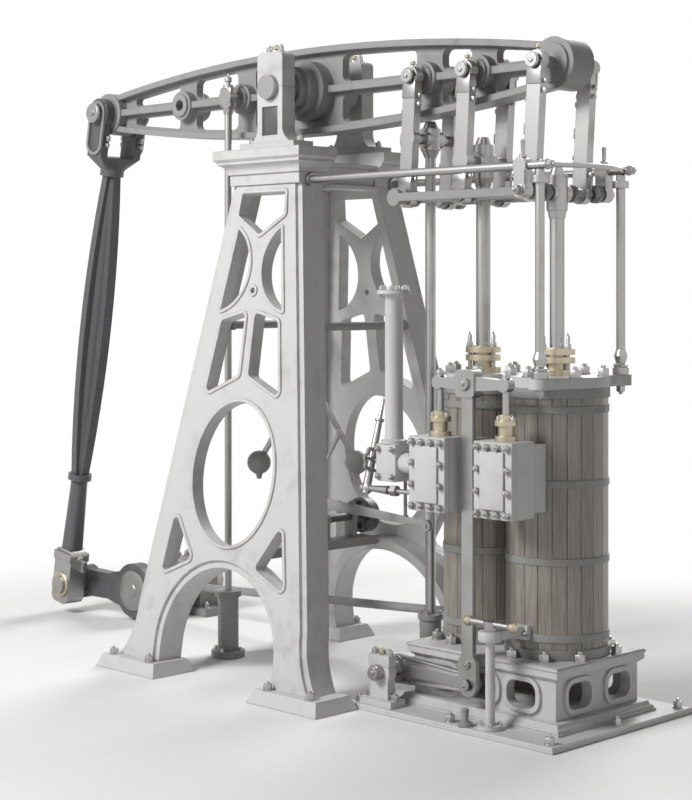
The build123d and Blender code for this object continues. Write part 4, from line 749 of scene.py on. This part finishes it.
# %% Stop valve
VALVE_LOW = 1.0
VALVE_X = 0.12
VALVE_DEEP = 0.11
CHEST_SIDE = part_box("inner_valve_chest")[0].x
valve_mid = on_axis(pipe, (VALVE_TOP + VALVE_LOW) / 2)
neck_start = valve_mid + Vector((0.05, 0, 0))
neck = CHEST_SIDE - neck_start.x
neck_line = [(0, 0), (0.044, 0), (0.044, neck - 0.03), (0.05, neck - 0.02), (0.07, neck - 0.018)]
neck_line += [(0.07, neck), (0, neck)]
valve_block = block((VALVE_X, VALVE_DEEP, VALVE_TOP - VALVE_LOW), 0.008)
valve = copies(valve_block, [Matrix.Translation(valve_mid)])
stamp(valve, turned(neck_line, 32), [at(neck_start, (1, 0, 0))])
stop_valve = piece("stop_valve", "frame", pale_iron, valve)
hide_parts("throttle_valve")
neck_bolts = ring((CHEST_SIDE - 0.018, pipe.y, valve_mid.z), 0.057, 4, pi / 4, (-1, 0, 0))
corners = [Vector((x, -VALVE_DEEP / 2, z)) for x in (-0.042, 0.042) for z in (-0.06, 0.06)]
face_bolts = [at(valve_mid + corner, (0, -1, 0)) for corner in corners]
nuts("valve_nuts", "frame", 0.022, neck_bolts + face_bolts)
print("stop valve between", VALVE_LOW, "and", VALVE_TOP)

# %% [markdown]
# A hand wheel with a wavy rim gives a grip for oily hands. Its rim is a tube bent round a circle that
# swells and shrinks, so a turned ring wouldn't do.

# %% Hand wheel
def hand_wheel(radius, lobes, rim):
    """Wheel about Z with a wavy rim, four spokes and a hub."""
    steps = 8 * lobes
    hoops = []
    for i in range(steps):
        a = 2 * pi * i / steps
        wave = radius * (1 + 0.09 * cos(lobes * a))
        tube = [(wave + rim * cos(b), rim * sin(b)) for b in (pi * j / 4 for j in range(8))]
        hoops.append([(r * cos(a), r * sin(a), z) for r, z in tube])
    shape = joined(hoops)
    spoke = turned([(0, 0), (0.007, 0), (0.005, radius), (0, radius)], 10)
    stamp(shape, spoke, [at((0, 0, 0), (cos(a), sin(a), 0)) for a in (pi * q / 2 for q in range(4))])
    hub = [(0, -0.014), (0.014, -0.014), (0.019, 0), (0.014, 0.014), (0, 0.014)]
    return stamp(shape, turned(hub, 16), HERE)


valve_left = valve_mid - Vector((VALVE_X / 2, 0, 0))
stuffing = [(0, 0), (0.034, 0), (0.034, 0.012), (0.022, 0.016), (0.022, 0.034), (0.01, 0.036)]
stuffing += [(0.01, 0.096), (0, 0.1)]
works = copies(turned(stuffing), [at(valve_left, (-1, 0, 0))])
stamp(works, hand_wheel(0.052, 8, 0.009), [at(valve_left - Vector((0.068, 0, 0)), (-1, 0, 0), 0.3)])
piece("stop_valve_wheel", "frame", mid_iron, works)
print("wheel on a spindle of", stuffing[-1][1], "m")

# %% [markdown]
# Under the valve a spindle runs out from the chest to a tall hand lever, with a collar where the grip
# begins. It is taken to open the drains before the engine is started. Both could be built up from rods
# and rings, but each is round from end to end, so one outline on the lathe has all the collars in it.

# %% Drain lever
DRAIN = Vector((CHEST_SIDE, pipe.y - 0.033, 0.96))
spindle_line = [(0, 0), (0.026, 0), (0.026, 0.016), (0.011, 0.02), (0.011, 0.17), (0.02, 0.172)]
spindle_line += [(0.013, 0.28), (0.02, 0.284), (0.02, 0.33), (0.013, 0.336), (0, 0.338)]
drain = copies(turned(spindle_line, 20), [at(DRAIN, (-1, 0, 0))])
gland = [(0, 0.12), (0.025, 0.12), (0.025, 0.152), (0.018, 0.158), (0, 0.158)]
stamp(drain, turned(gland, 6), [at(DRAIN, (-1, 0, 0))])
lever_line = [(0, -0.026), (0.018, -0.026), (0.02, 0.02), (0.014, 0.3), (0.021, 0.303), (0.021, 0.314)]
lever_line += [(0.01, 0.317), (0.007, 0.4), (0.004, 0.408), (0, 0.41)]
stamp(drain, turned(lever_line, 20), [at(DRAIN - Vector((0.307, 0, 0)), (0, 0.113, 0.4))])
piece("drain_lever", "frame", steel, drain)
print("drain lever", round(lever_line[-1][1], 2), "m tall")

# %% [markdown]
# The links hang from pins through the beam. Each pin ends in a collar, each link end is a strap drawn
# tight by a cotter, and a small oil cup sits on top. The pins turn with the beam and the straps with
# the links. Each place could be worked out on its own, but the links lean, so one function finds a
# place by its distance down the link, as it would be marked out on the real one.

# %% Parallel motion
LINK_DROP = 0.55
LEAN = atan2(0.0332, LINK_DROP)
COTTER = (0.104, 0.016, 0.02)
COTTER_DROPS = (0.085, 0.125, 0.425, 0.465)
SIDE_BLOCKS = ((0.16, 0.026), (0.285, 0.05), (0.39, 0.026))
STRAP = (0.078, 0.01, 0.1)
STRAP_DROPS = (0.05, 0.5)
links = {
    "main_links": (1.52, 0.172),
    "inner_links": (1.095, 0.136),
    "pump_links": (0.77, 0.136),
}


def on_link(pin_x, drop, y, aside=0.0):
    """Place down a leaning link, measured from its pin."""
    place = (pin_x - drop * sin(LEAN) - aside, y, TRUNNION_Z - drop * cos(LEAN))
    return Matrix.Translation(place) @ Matrix.Rotation(LEAN, 4, "Y")


pin_places = []
for body, (pin_x, link_y) in links.items():
    straps = bmesh.new()
    cup_places = []
    foot_places = []
    for side in SIDES:
        out = (0, side, 0)
        mid_y = side * link_y
        face_y = side * (link_y + 0.022)
        pin_places.append(at((pin_x, side * (link_y + 0.038), TRUNNION_Z), out))
        cup_places.append(at((pin_x, mid_y, TRUNNION_Z + 0.042)))
        cotters = [on_link(pin_x, drop, mid_y) for drop in COTTER_DROPS]
        stamp(straps, block(COTTER, 0.003), cotters)
        for drop, tall in SIDE_BLOCKS:
            stamp(straps, block((0.026, 0.036, tall), 0.006), [on_link(pin_x, drop, mid_y, 0.036)])
        bands = [on_link(pin_x, drop, face_y) for drop in STRAP_DROPS]
        stamp(straps, block(STRAP, 0.003), bands)
        foot = (pin_x - LINK_DROP * sin(LEAN), face_y + side * 0.004, TRUNNION_Z - LINK_DROP)
        foot_places.append(at(foot, out))
    piece(body + "_straps", body, steel, straps)
    piece(body + "_cups", body, bronze, copies(oil_cup(0.016), cup_places))
    piece(body + "_collars", body, steel, copies(collar(0.03, 0.008), foot_places))
piece("pin_collars", "beam", steel, copies(collar(0.034, 0.012), pin_places))
print("pins:", len(pin_places))

# %% [markdown]
# The guide posts stand on turned feet and are bolted through the ears of the cover, with the nut below.
# The rails and the outer pivots of the radius rods end in nuts too. A foot could be a cone, but a
# turned outline gives it the waist that it has. Near and far come from one list, so that they can't
# differ.

# %% Guides
GUIDE_Y = 0.28
post = middle("guide_posts")
ear_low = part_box("outer_cover")[0].z
rail_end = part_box("guide_rails")[1].x
rail_z = middle("guide_rails").z
bracket = middle("radius_brackets")
BAR_Z = TRUNNION_Z - LINK_DROP
below = [at((post.x, side * GUIDE_Y, ear_low), (0, 0, -1)) for side in SIDES]
rail_nuts = [at((rail_end, side * GUIDE_Y, rail_z), (1, 0, 0)) for side in SIDES]
pivots = [at((bracket.x, side * (GUIDE_Y + 0.027), BAR_Z), (0, side, 0)) for side in SIDES]
nuts("guide_nuts", "frame", 0.036, below + rail_nuts + pivots)
vase = [(0, 0), (0.03, 0), (0.034, 0.012), (0.022, 0.02), (0.03, 0.05), (0.022, 0.075)]
vase += [(0.02, 0.08), (0, 0.08)]
vase_places = [at((post.x, side * GUIDE_Y, COVER_Z + 0.03)) for side in SIDES]
piece("post_feet", "frame", steel, copies(turned(vase), vase_places))
print("guide fittings:", len(below) + len(rail_nuts) + len(pivots))

# %% [markdown]
# The connecting rod's fork and big end hold their brasses with flat keys, driven side by side through
# strap and rod. They could be set upright and turned by eye, but the rod leans, so each is placed by
# its distance up the rod from the crank pin, and tilts with it.

# %% Connecting rod
ARM = 1.575
CRANK_R = 0.46
CRANK_Z = 0.165
FORK_KEYS = ((0.13, 0.03), (0.165, 0.022))
BIG_END_KEY = (0.156, 0.012, 0.05)
ROD_LEAN = atan2(CRANK_R, TRUNNION_Z - CRANK_Z)
pin_low = Vector((-ARM - CRANK_R, 0, CRANK_Z))
along = Vector((sin(ROD_LEAN), 0, cos(ROD_LEAN)))
tilt = Matrix.Rotation(ROD_LEAN, 4, "Y")
rod_length = (TRUNNION_Z - CRANK_Z) / cos(ROD_LEAN)


def on_rod(rise, aside):
    """Place up the leaning rod, measured from the crank pin."""
    return Matrix.Translation(pin_low + along * rise + Vector(aside)) @ tilt


keys = bmesh.new()
for side in SIDES:
    for drop, tall in FORK_KEYS:
        stamp(keys, block((0.19, 0.018, tall), 0.004), [on_rod(rod_length - drop, (0, side * 0.113, 0))])
stamp(keys, block(BIG_END_KEY, 0.004), [on_rod(0.165, (0, side * 0.062, 0)) for side in SIDES])
piece("rod_keys", "connecting_rod", steel, keys)
brasses = copies(collar(0.074, 0.012), [at(pin_low + Vector((0, -0.056, 0)), (0, -1, 0))])
stamp(brasses, oil_cup(0.02), [on_rod(0.13, (0.078, 0, 0))])
piece("rod_brasses", "connecting_rod", bronze, brasses)
ends = [at((-ARM, side * 0.168, TRUNNION_Z), (0, side, 0)) for side in SIDES]
piece("rod_pin_collars", "beam", steel, copies(collar(0.054, 0.014), ends))
hub_place = at((-ARM, 0.1, CRANK_Z), (0, -1, 0))
piece("crank_hub", "crank", steel, copies(collar(0.112, 0.008), [hub_place]))
print("rod", round(rod_length, 3), "m long")

# %% [markdown]
# A long strap goes round each eye of the fork. A curve with a bevel could follow it, but a forging has
# a flat face and square edges. The strap is a loop round two centres, so it is drawn as four loops of
# points, outer and inner, low and high, and skinned.

# %% Fork straps
FORK_FACE = 0.136
BEND_STEPS = 32


def strap_loop(outer, inner, reach, thick):
    """Strap in the XY plane round two centres, the second one reach below the first."""
    loops = []
    for radius, level in ((outer, -SINK), (outer, thick), (inner, thick), (inner, -SINK)):
        bend = [2 * pi * i / BEND_STEPS for i in range(BEND_STEPS)]
        drop = [reach if a > pi else 0 for a in bend]
        loops.append([(radius * cos(a), radius * sin(a) - d, level) for a, d in zip(bend, drop)])
    return joined(loops)


straps = bmesh.new()
for side in SIDES:
    out = Vector((0, side, 0))
    turn = Matrix((along.cross(out), along, out)).transposed().to_4x4()
    eye = pin_low + along * rod_length + FORK_FACE * out
    stamp(straps, strap_loop(0.068, 0.052, 0.16, 0.012), [Matrix.Translation(eye) @ turn])
piece("fork_straps", "connecting_rod", mid_iron, straps)
print("fork straps", FORK_FACE, "m off the beam's plane")

# %% [markdown]
# The governor's arms hang from a head on the spindle and lift a grooved sleeve by two short links as
# they fly out. The sleeve is what moves the throttle. The arms could be made upright and then posed,
# but two points say it all: each arm and link is as long as the line between its ends, and stands along
# it.

# %% Governor
spindle = Vector((-0.06, 0, 0))
ball_way = Vector((1, 1, 0)).normalized()
ARM_TOP = 1.405
ARM_OUT = 0.012
BALL_OUT = 0.24
BALL_Z = 0.992
KNUCKLE = 0.64
sleeve = [(0.021, 0.78), (0.046, 0.78), (0.046, 0.8), (0.03, 0.804), (0.03, 0.836), (0.046, 0.84)]
sleeve += [(0.046, 0.858), (0.034, 0.864), (0.034, 0.9), (0.021, 0.906)]
turnings = copies(turned(sleeve, 24, loop=True), [at(spindle)])
finial = [(0, 1.438), (0.03, 1.438), (0.034, 1.45), (0.014, 1.462), (0.026, 1.49), (0.014, 1.515)]
finial.append((0, 1.52))
stamp(turnings, turned(finial), [at(spindle)])
for hand in SIDES:
    way = hand * ball_way
    cross = Vector((way.y, -way.x, 0))
    head = spindle + on_axis(ARM_OUT * way, ARM_TOP)
    ball = spindle + on_axis(BALL_OUT * way, BALL_Z)
    arm = ball - head
    stamp(turnings, block((0.022, 0.028, 0.88 * arm.length), 0.003), [at(head + 0.44 * arm, arm)])
    knuckle = head + KNUCKLE * arm
    start = spindle + on_axis(0.036 * way, 0.882)
    reach = knuckle - start
    span = reach.length
    link = [(0, 0), (0.012, 0), (0.008, 0.3 * span), (0.011, 0.8 * span), (0.014, span), (0, span)]
    stamp(turnings, turned(link, 12), [at(start, reach)])
    for joint in (knuckle, spindle + on_axis(0.03 * way, 1.38), start):
        for face in (cross, -cross):
            stamp(turnings, collar(0.019, 0.012), [at(joint + 0.011 * face, face)])
    cap = [(0, 0.05), (0.02, 0.052), (0.014, 0.066), (0.012, 0.08), (0, 0.082)]
    stamp(turnings, turned(cap, 16), [at(ball, (0, 0, -1))])
piece("governor_gear", "governor", steel, turnings)
print("governor sleeve at", sleeve[0][1], "m")

# %% [markdown]
# A long lever rides in the sleeve's groove and hangs at its far end from the first chest. A link from
# it works the stop valve's spindle, so the engine's own speed sets the steam. The lever tapers, because
# its load does. It could be cut from a drawn outline, but a block with eased edges only needs its far
# end made lower.

# %% Governor lever
LEVER_Z = 0.82


def taper_bar(length, thick, near, far, edge=0.003):
    """Flat bar along X, deeper at its near end."""
    shape = block((length, thick, near), edge)
    for corner in shape.verts:
        if corner.co.x > 0:
            corner.co.z *= far / near
    return shape


lever_start = Vector((spindle.x, -0.05, LEVER_Z))
lever_end = Vector((CHEST_SIDE + 0.024, pipe.y + 0.022, LEVER_Z))
lever_way = lever_end - lever_start
swing = Matrix.Rotation(atan2(lever_way.y, lever_way.x), 4, "Z")
lever_mid = Matrix.Translation((lever_start + lever_end) / 2)
lever = copies(taper_bar(lever_way.length, 0.018, 0.058, 0.026), [lever_mid @ swing])
fork = [(0.033, -0.011), (0.052, -0.011), (0.052, 0.011), (0.033, 0.011)]
stamp(lever, turned(fork, 28, loop=True), [at((spindle.x, 0, LEVER_Z))])
stamp(lever, collar(0.015, 0.012), [at(lever_start + 0.42 * lever_way + Vector((0, 0, 0.02)))])
stamp(lever, collar(0.026, 0.012), [at(lever_end + Vector((0, -0.017, 0)), (0, -1, 0))])
link_share = (pipe.x - lever_start.x) / lever_way.x
link_foot = lever_start + link_share * lever_way - Vector((0, 0, 0.02))
link_line = [(0, 0), (0.014, 0), (0.014, 0.04), (0.008, 0.044), (0.008, 0.23), (0.014, 0.234)]
link_line += [(0.014, 0.268), (0, 0.27)]
stamp(lever, turned(link_line, 16), [at(link_foot)])
piece("governor_lever", "frame", mid_iron, lever)
hanger_mid = Matrix.Translation(lever_end + Vector((0, 0, 0.034)))
hanger = copies(block((0.032, 0.03, 0.1), 0.004), [hanger_mid])
boss_line = [(0, 0), (0.022, 0), (0.022, 0.03), (0.016, 0.034), (0, 0.034)]
boss_place = Vector((pipe.x, pipe.y + VALVE_DEEP / 2 - SINK, 1.05))
stamp(hanger, turned(boss_line), [at(boss_place, (0, 1, 0))])
piece("lever_hanger", "frame", pale_iron, hanger)
print("governor lever", round(lever_way.length, 2), "m long")

# %% [markdown]
# The flat rod between the two valve spindles ends in a loop with a pin for the rocking lever. Small
# nuts hold the spindles to the cross piece. New pins could be drawn, but pin heads look alike, so they
# are stock collars. Each rides on its own body, the rod's on the valve gear and the lever's on the
# rocking shaft.

# %% Valve gear
FLAT_ROD_X = 1.3
CROSS_Z = 1.443
ROCKER_Z = 0.17
TO_FRONT = (0, -1, 0)
tops = [at((cx, VALVE_Y, CROSS_Z + 0.028)) for cx in chest_x]
nuts("valve_rod_nuts", "valve_gear", 0.03, tops)
gear_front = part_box("valve_crosshead")[0].y
boss = copies(collar(0.03, 0.012), [at((FLAT_ROD_X, gear_front, CROSS_Z), TO_FRONT)])
stamp(boss, collar(0.018, 0.01), [at((FLAT_ROD_X, VALVE_Y - 0.012, 0.256), TO_FRONT)])
piece("flat_rod_pins", "valve_gear", steel, boss)
lever_pin = copies(collar(0.024, 0.012), [at((FLAT_ROD_X, VALVE_Y - 0.024, ROCKER_Z), TO_FRONT)])
shaft_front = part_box("rocking_shaft")[0].y
stamp(lever_pin, collar(0.03, 0.012), [at((rocker.x, shaft_front, ROCKER_Z), TO_FRONT)])
piece("rocker_pins", "rocking_shaft", steel, lever_pin)
print("valve gear dressed")

# %% [markdown]
# The injection handle is a cross bar with a round grip at each end, on a pillar whose foot is bolted to
# the bed. A squashed sphere could be the grip, but a turned one has the belt and the flat ends that a
# lathe leaves.

# %% Injection handle
stand = middle("injection_stand")
stand_low, stand_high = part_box("injection_stand")
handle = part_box("injection_handle")
handle_y = middle("injection_handle").y
knob = [(0, -0.02), (0.014, -0.02), (0.022, -0.006), (0.022, 0.008), (0.012, 0.018), (0, 0.02)]
grips = [at((end.x, handle_y, handle[1].z - 0.013), (1, 0, 0)) for end in handle]
piece("handle_knobs", "injection_handle", bronze, copies(turned(knob, 16), grips))
nuts("stand_nuts", "frame", 0.016, ring(on_axis(stand, stand_low.z + 0.018), 0.04, 4, 0.7))
print("grips:", len(grips))

# %% [markdown]
# The rocking lever is a plate with a thick rim, wide at the shaft. Its bearings have square caps held
# by two bolts, with flat heads on the far one, because the eccentric's rod swings close above it. The
# rims could be drawn out of the plate's faces, but a tapered bar and two tilted ones give the same look
# and keep crisp edges.

# %% Rocking lever and its bearings
LEVER_Y = VALVE_Y + 0.031
ROCKER_CAP = (0.126, 0.05, 0.05)
span = FLAT_ROD_X - rocker.x
centre = Vector(((rocker.x + FLAT_ROD_X) / 2, LEVER_Y, ROCKER_Z))
rocking = copies(taper_bar(span, 0.012, 0.112, 0.06), [Matrix.Translation(centre)])
for side in SIDES:
    slope = Matrix.Rotation(side * atan2(0.026, span), 4, "Y")
    rim_place = Matrix.Translation(centre + Vector((0, 0, side * 0.045)))
    stamp(rocking, block((span, 0.024, 0.014), 0.003), [rim_place @ slope])
piece("rocking_lever_rims", "rocking_shaft", steel, rocking)
near_cap, far_cap = [Vector((rocker.x, side * ROCKER_Y, rocker_high.z - 0.012)) for side in SIDES]
bolts = [Vector((x, 0, 0.025)) for x in (-0.044, 0.044)]
cap_places = [Matrix.Translation(cap) for cap in (near_cap, far_cap)]
caps = copies(block(ROCKER_CAP, 0.005), cap_places)
stamp(caps, collar(0.015, 0.004), [at(far_cap + bolt) for bolt in bolts])
piece("rocker_caps", "frame", pale_iron, caps)
nuts("rocker_cap_nuts", "frame", 0.026, [at(near_cap + bolt) for bolt in bolts])
print("rocking lever", round(span, 3), "m long")

# %% [markdown]
# The handle's pillar is steadied by an arm from the cylinder. Beside it a short pipe stub comes up
# through the bed. The arm could be modelled as one mesh, but a boss, a bar and a pad set into each
# other is how a pattern maker builds such a casting. Its length is measured from the jacket to the
# pillar, so that it meets both.

# %% Injection arm and stub
arm_z = stand_high.z - 0.022
jacket_front = -(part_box("outer_lagging")[1].y - 0.006)
arm_far = jacket_front - stand.y
pad_mid = Vector((stand.x, jacket_front - 0.012, arm_z - 0.008))
boss_line = [(0, -0.021), (0.046, -0.021), (0.05, -0.014), (0.05, 0.014), (0.046, 0.021), (0, 0.021)]
arm_shape = copies(turned(boss_line, 32), [at(on_axis(stand, arm_z))])
arm_mid = Matrix.Translation((stand.x, stand.y + arm_far / 2, arm_z))
stamp(arm_shape, block((0.07, arm_far, 0.04), 0.005), [arm_mid])
stamp(arm_shape, block((0.1, 0.03, 0.06), 0.005), [Matrix.Translation(pad_mid)])
piece("injection_arm", "frame", pale_iron, arm_shape)
pad_nuts = [at(pad_mid + Vector((x, -0.014, 0)), TO_FRONT) for x in (-0.042, 0.042)]
nuts("injection_arm_nuts", "frame", 0.02, pad_nuts)
stub = [(0, -SINK), (0.034, -SINK), (0.034, 0.012), (0.018, 0.016), (0.014, 0.03), (0.017, 0.068)]
stub += [(0.01, 0.074), (0, 0.075)]
stub_place = [at((1.36, bed_low.y + 0.036, bed_high.z))]
piece("drain_stub", "frame", mid_iron, copies(turned(stub), stub_place))
print("arm reaches", round(arm_far, 3), "m")

# %% [markdown]
# The feed pump's rod hangs from the beam by a square head with a gland nut and an oil cup, and small
# pins stand on the radius rods' brackets. The head could be carved by Booleans, but a sawn block
# between two turnings on one axis gives the same corners with fewer faces.

# %% Feed rod head and bracket pins
FEED_HEAD = (0.08, 0.044, 0.1)
head_mid = on_axis(middle("feed_rod"), TRUNNION_Z)
head = copies(block(FEED_HEAD, 0.008), [Matrix.Translation(head_mid)])
cup_line = [(0, 0.045), (0.026, 0.045), (0.026, 0.062), (0.012, 0.066), (0.012, 0.076), (0.018, 0.08)]
cup_line += [(0.018, 0.1), (0.006, 0.108), (0.005, 0.118), (0, 0.12)]
stamp(head, turned(cup_line, 20), [at(head_mid)])
under = [(0, -0.085), (0.022, -0.085), (0.026, -0.06), (0.03, -0.045), (0, -0.045)]
stamp(head, turned(under, 20), [at(head_mid)])
piece("feed_rod_head", "feed_rod", steel, head)
bracket_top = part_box("radius_brackets")[1].z
pin_line = [(0, -SINK), (0.016, -SINK), (0.016, 0.012), (0.009, 0.016), (0.009, 0.06), (0.012, 0.066)]
pin_line += [(0.006, 0.076), (0, 0.077)]
pin_spots = [at((bracket.x, side * GUIDE_Y, bracket_top)) for side in SIDES]
piece("bracket_pins", "frame", steel, copies(turned(pin_line, 16), pin_spots))
print("feed rod head at", tuple(round(v, 3) for v in head_mid))

# %% [markdown]
# The picture is black on white, so the stage is a pale floor that fades to white. More light would
# whiten it too, but would bleach the engine. The fade is seen by the eye and by bright metal, but it
# throws no light of its own on the engine, and the floor keeps the engine's shadow.

# %% Floor
WHITE = (1.0, 1.0, 1.0)
FADE_START = 2.0
FADE_END = 4.0
SEEING_RAYS = ("Is Camera Ray", "Is Glossy Ray", "Is Transmission Ray")


def seeing(sheet):
    """1 for a ray that shows the stage, straight or by way of metal or glass."""
    straight, mirrored, through = [sheet.node("ShaderNodeLightPath", out=ray) for ray in SEEING_RAYS]
    return straight + mirrored + through


bpy.ops.mesh.primitive_plane_add(size=120, location=(0, 0, -0.001))
floor = bpy.context.object
floor.name = "floor"
ground = Finish("pale_floor")
ground.wire(Base_Color=(0.86, 0.86, 0.85), Roughness=0.9)
distance = ground.node("ShaderNodeVectorMath", {"operation": "LENGTH"}, {0: ground.place()}, "Value")
fade = ground.soft_step(distance, FADE_START, FADE_END) * seeing(ground)
white = ground.node("ShaderNodeEmission", None, {"Color": WHITE, "Strength": 1.0})
painted = Field(ground, ground.shader.outputs[0])
shown = ground.node("ShaderNodeMixShader", None, {0: fade, 1: painted, 2: white})
ground.feed(ground.tree.nodes["Material Output"].inputs["Surface"], shown)
floor.data.materials.append(ground.material)
print("floor fades from", FADE_START, "to", FADE_END, "m")

# %% [markdown]
# One large soft lamp stands at the left front, where the picture's light comes from, a weak one on the
# right, and one behind for the far side. A sun or a small lamp would cut hard shadows through the
# pierced frames, and large ones soften them. The sky is dim, and looks white.

# %% Lamps and sky
SKY_STRENGTH = 0.12


def lamp(name, place, aim, size, watts):
    """Large soft lamp."""
    made = bpy.data.objects.new(name, bpy.data.lights.new(name, "AREA"))
    scene.collection.objects.link(made)
    made.location = place
    made.rotation_euler = (Vector(aim) - Vector(place)).to_track_quat("-Z", "Y").to_euler()
    made.data.size = size
    made.data.energy = watts


lamp("key_lamp", (-1.5, -7.0, 6.0), (0.2, 0, 1.4), 3.0, 660)
lamp("fill_lamp", (7.0, 1.0, 4.0), (0.4, 0, 1.2), 4.0, 8)
lamp("back_lamp", (-2.0, 7.0, 5.5), (0.2, 0, 1.3), 4.0, 480)
scene.world = bpy.data.worlds.new("sky")
scene.world.use_nodes = True
sky = NodeSheet(scene.world.node_tree)
sky.tree.nodes.remove(sky.tree.nodes["Background"])
dim = sky.node("ShaderNodeBackground", None, {"Color": WHITE, "Strength": SKY_STRENGTH})
bright = sky.node("ShaderNodeBackground", None, {"Color": WHITE, "Strength": 1.0})
shown = sky.node("ShaderNodeMixShader", None, {0: seeing(sky), 1: dim, 2: bright})
sky.feed(sky.tree.nodes["World Output"].inputs["Surface"], shown)
print("stage set")
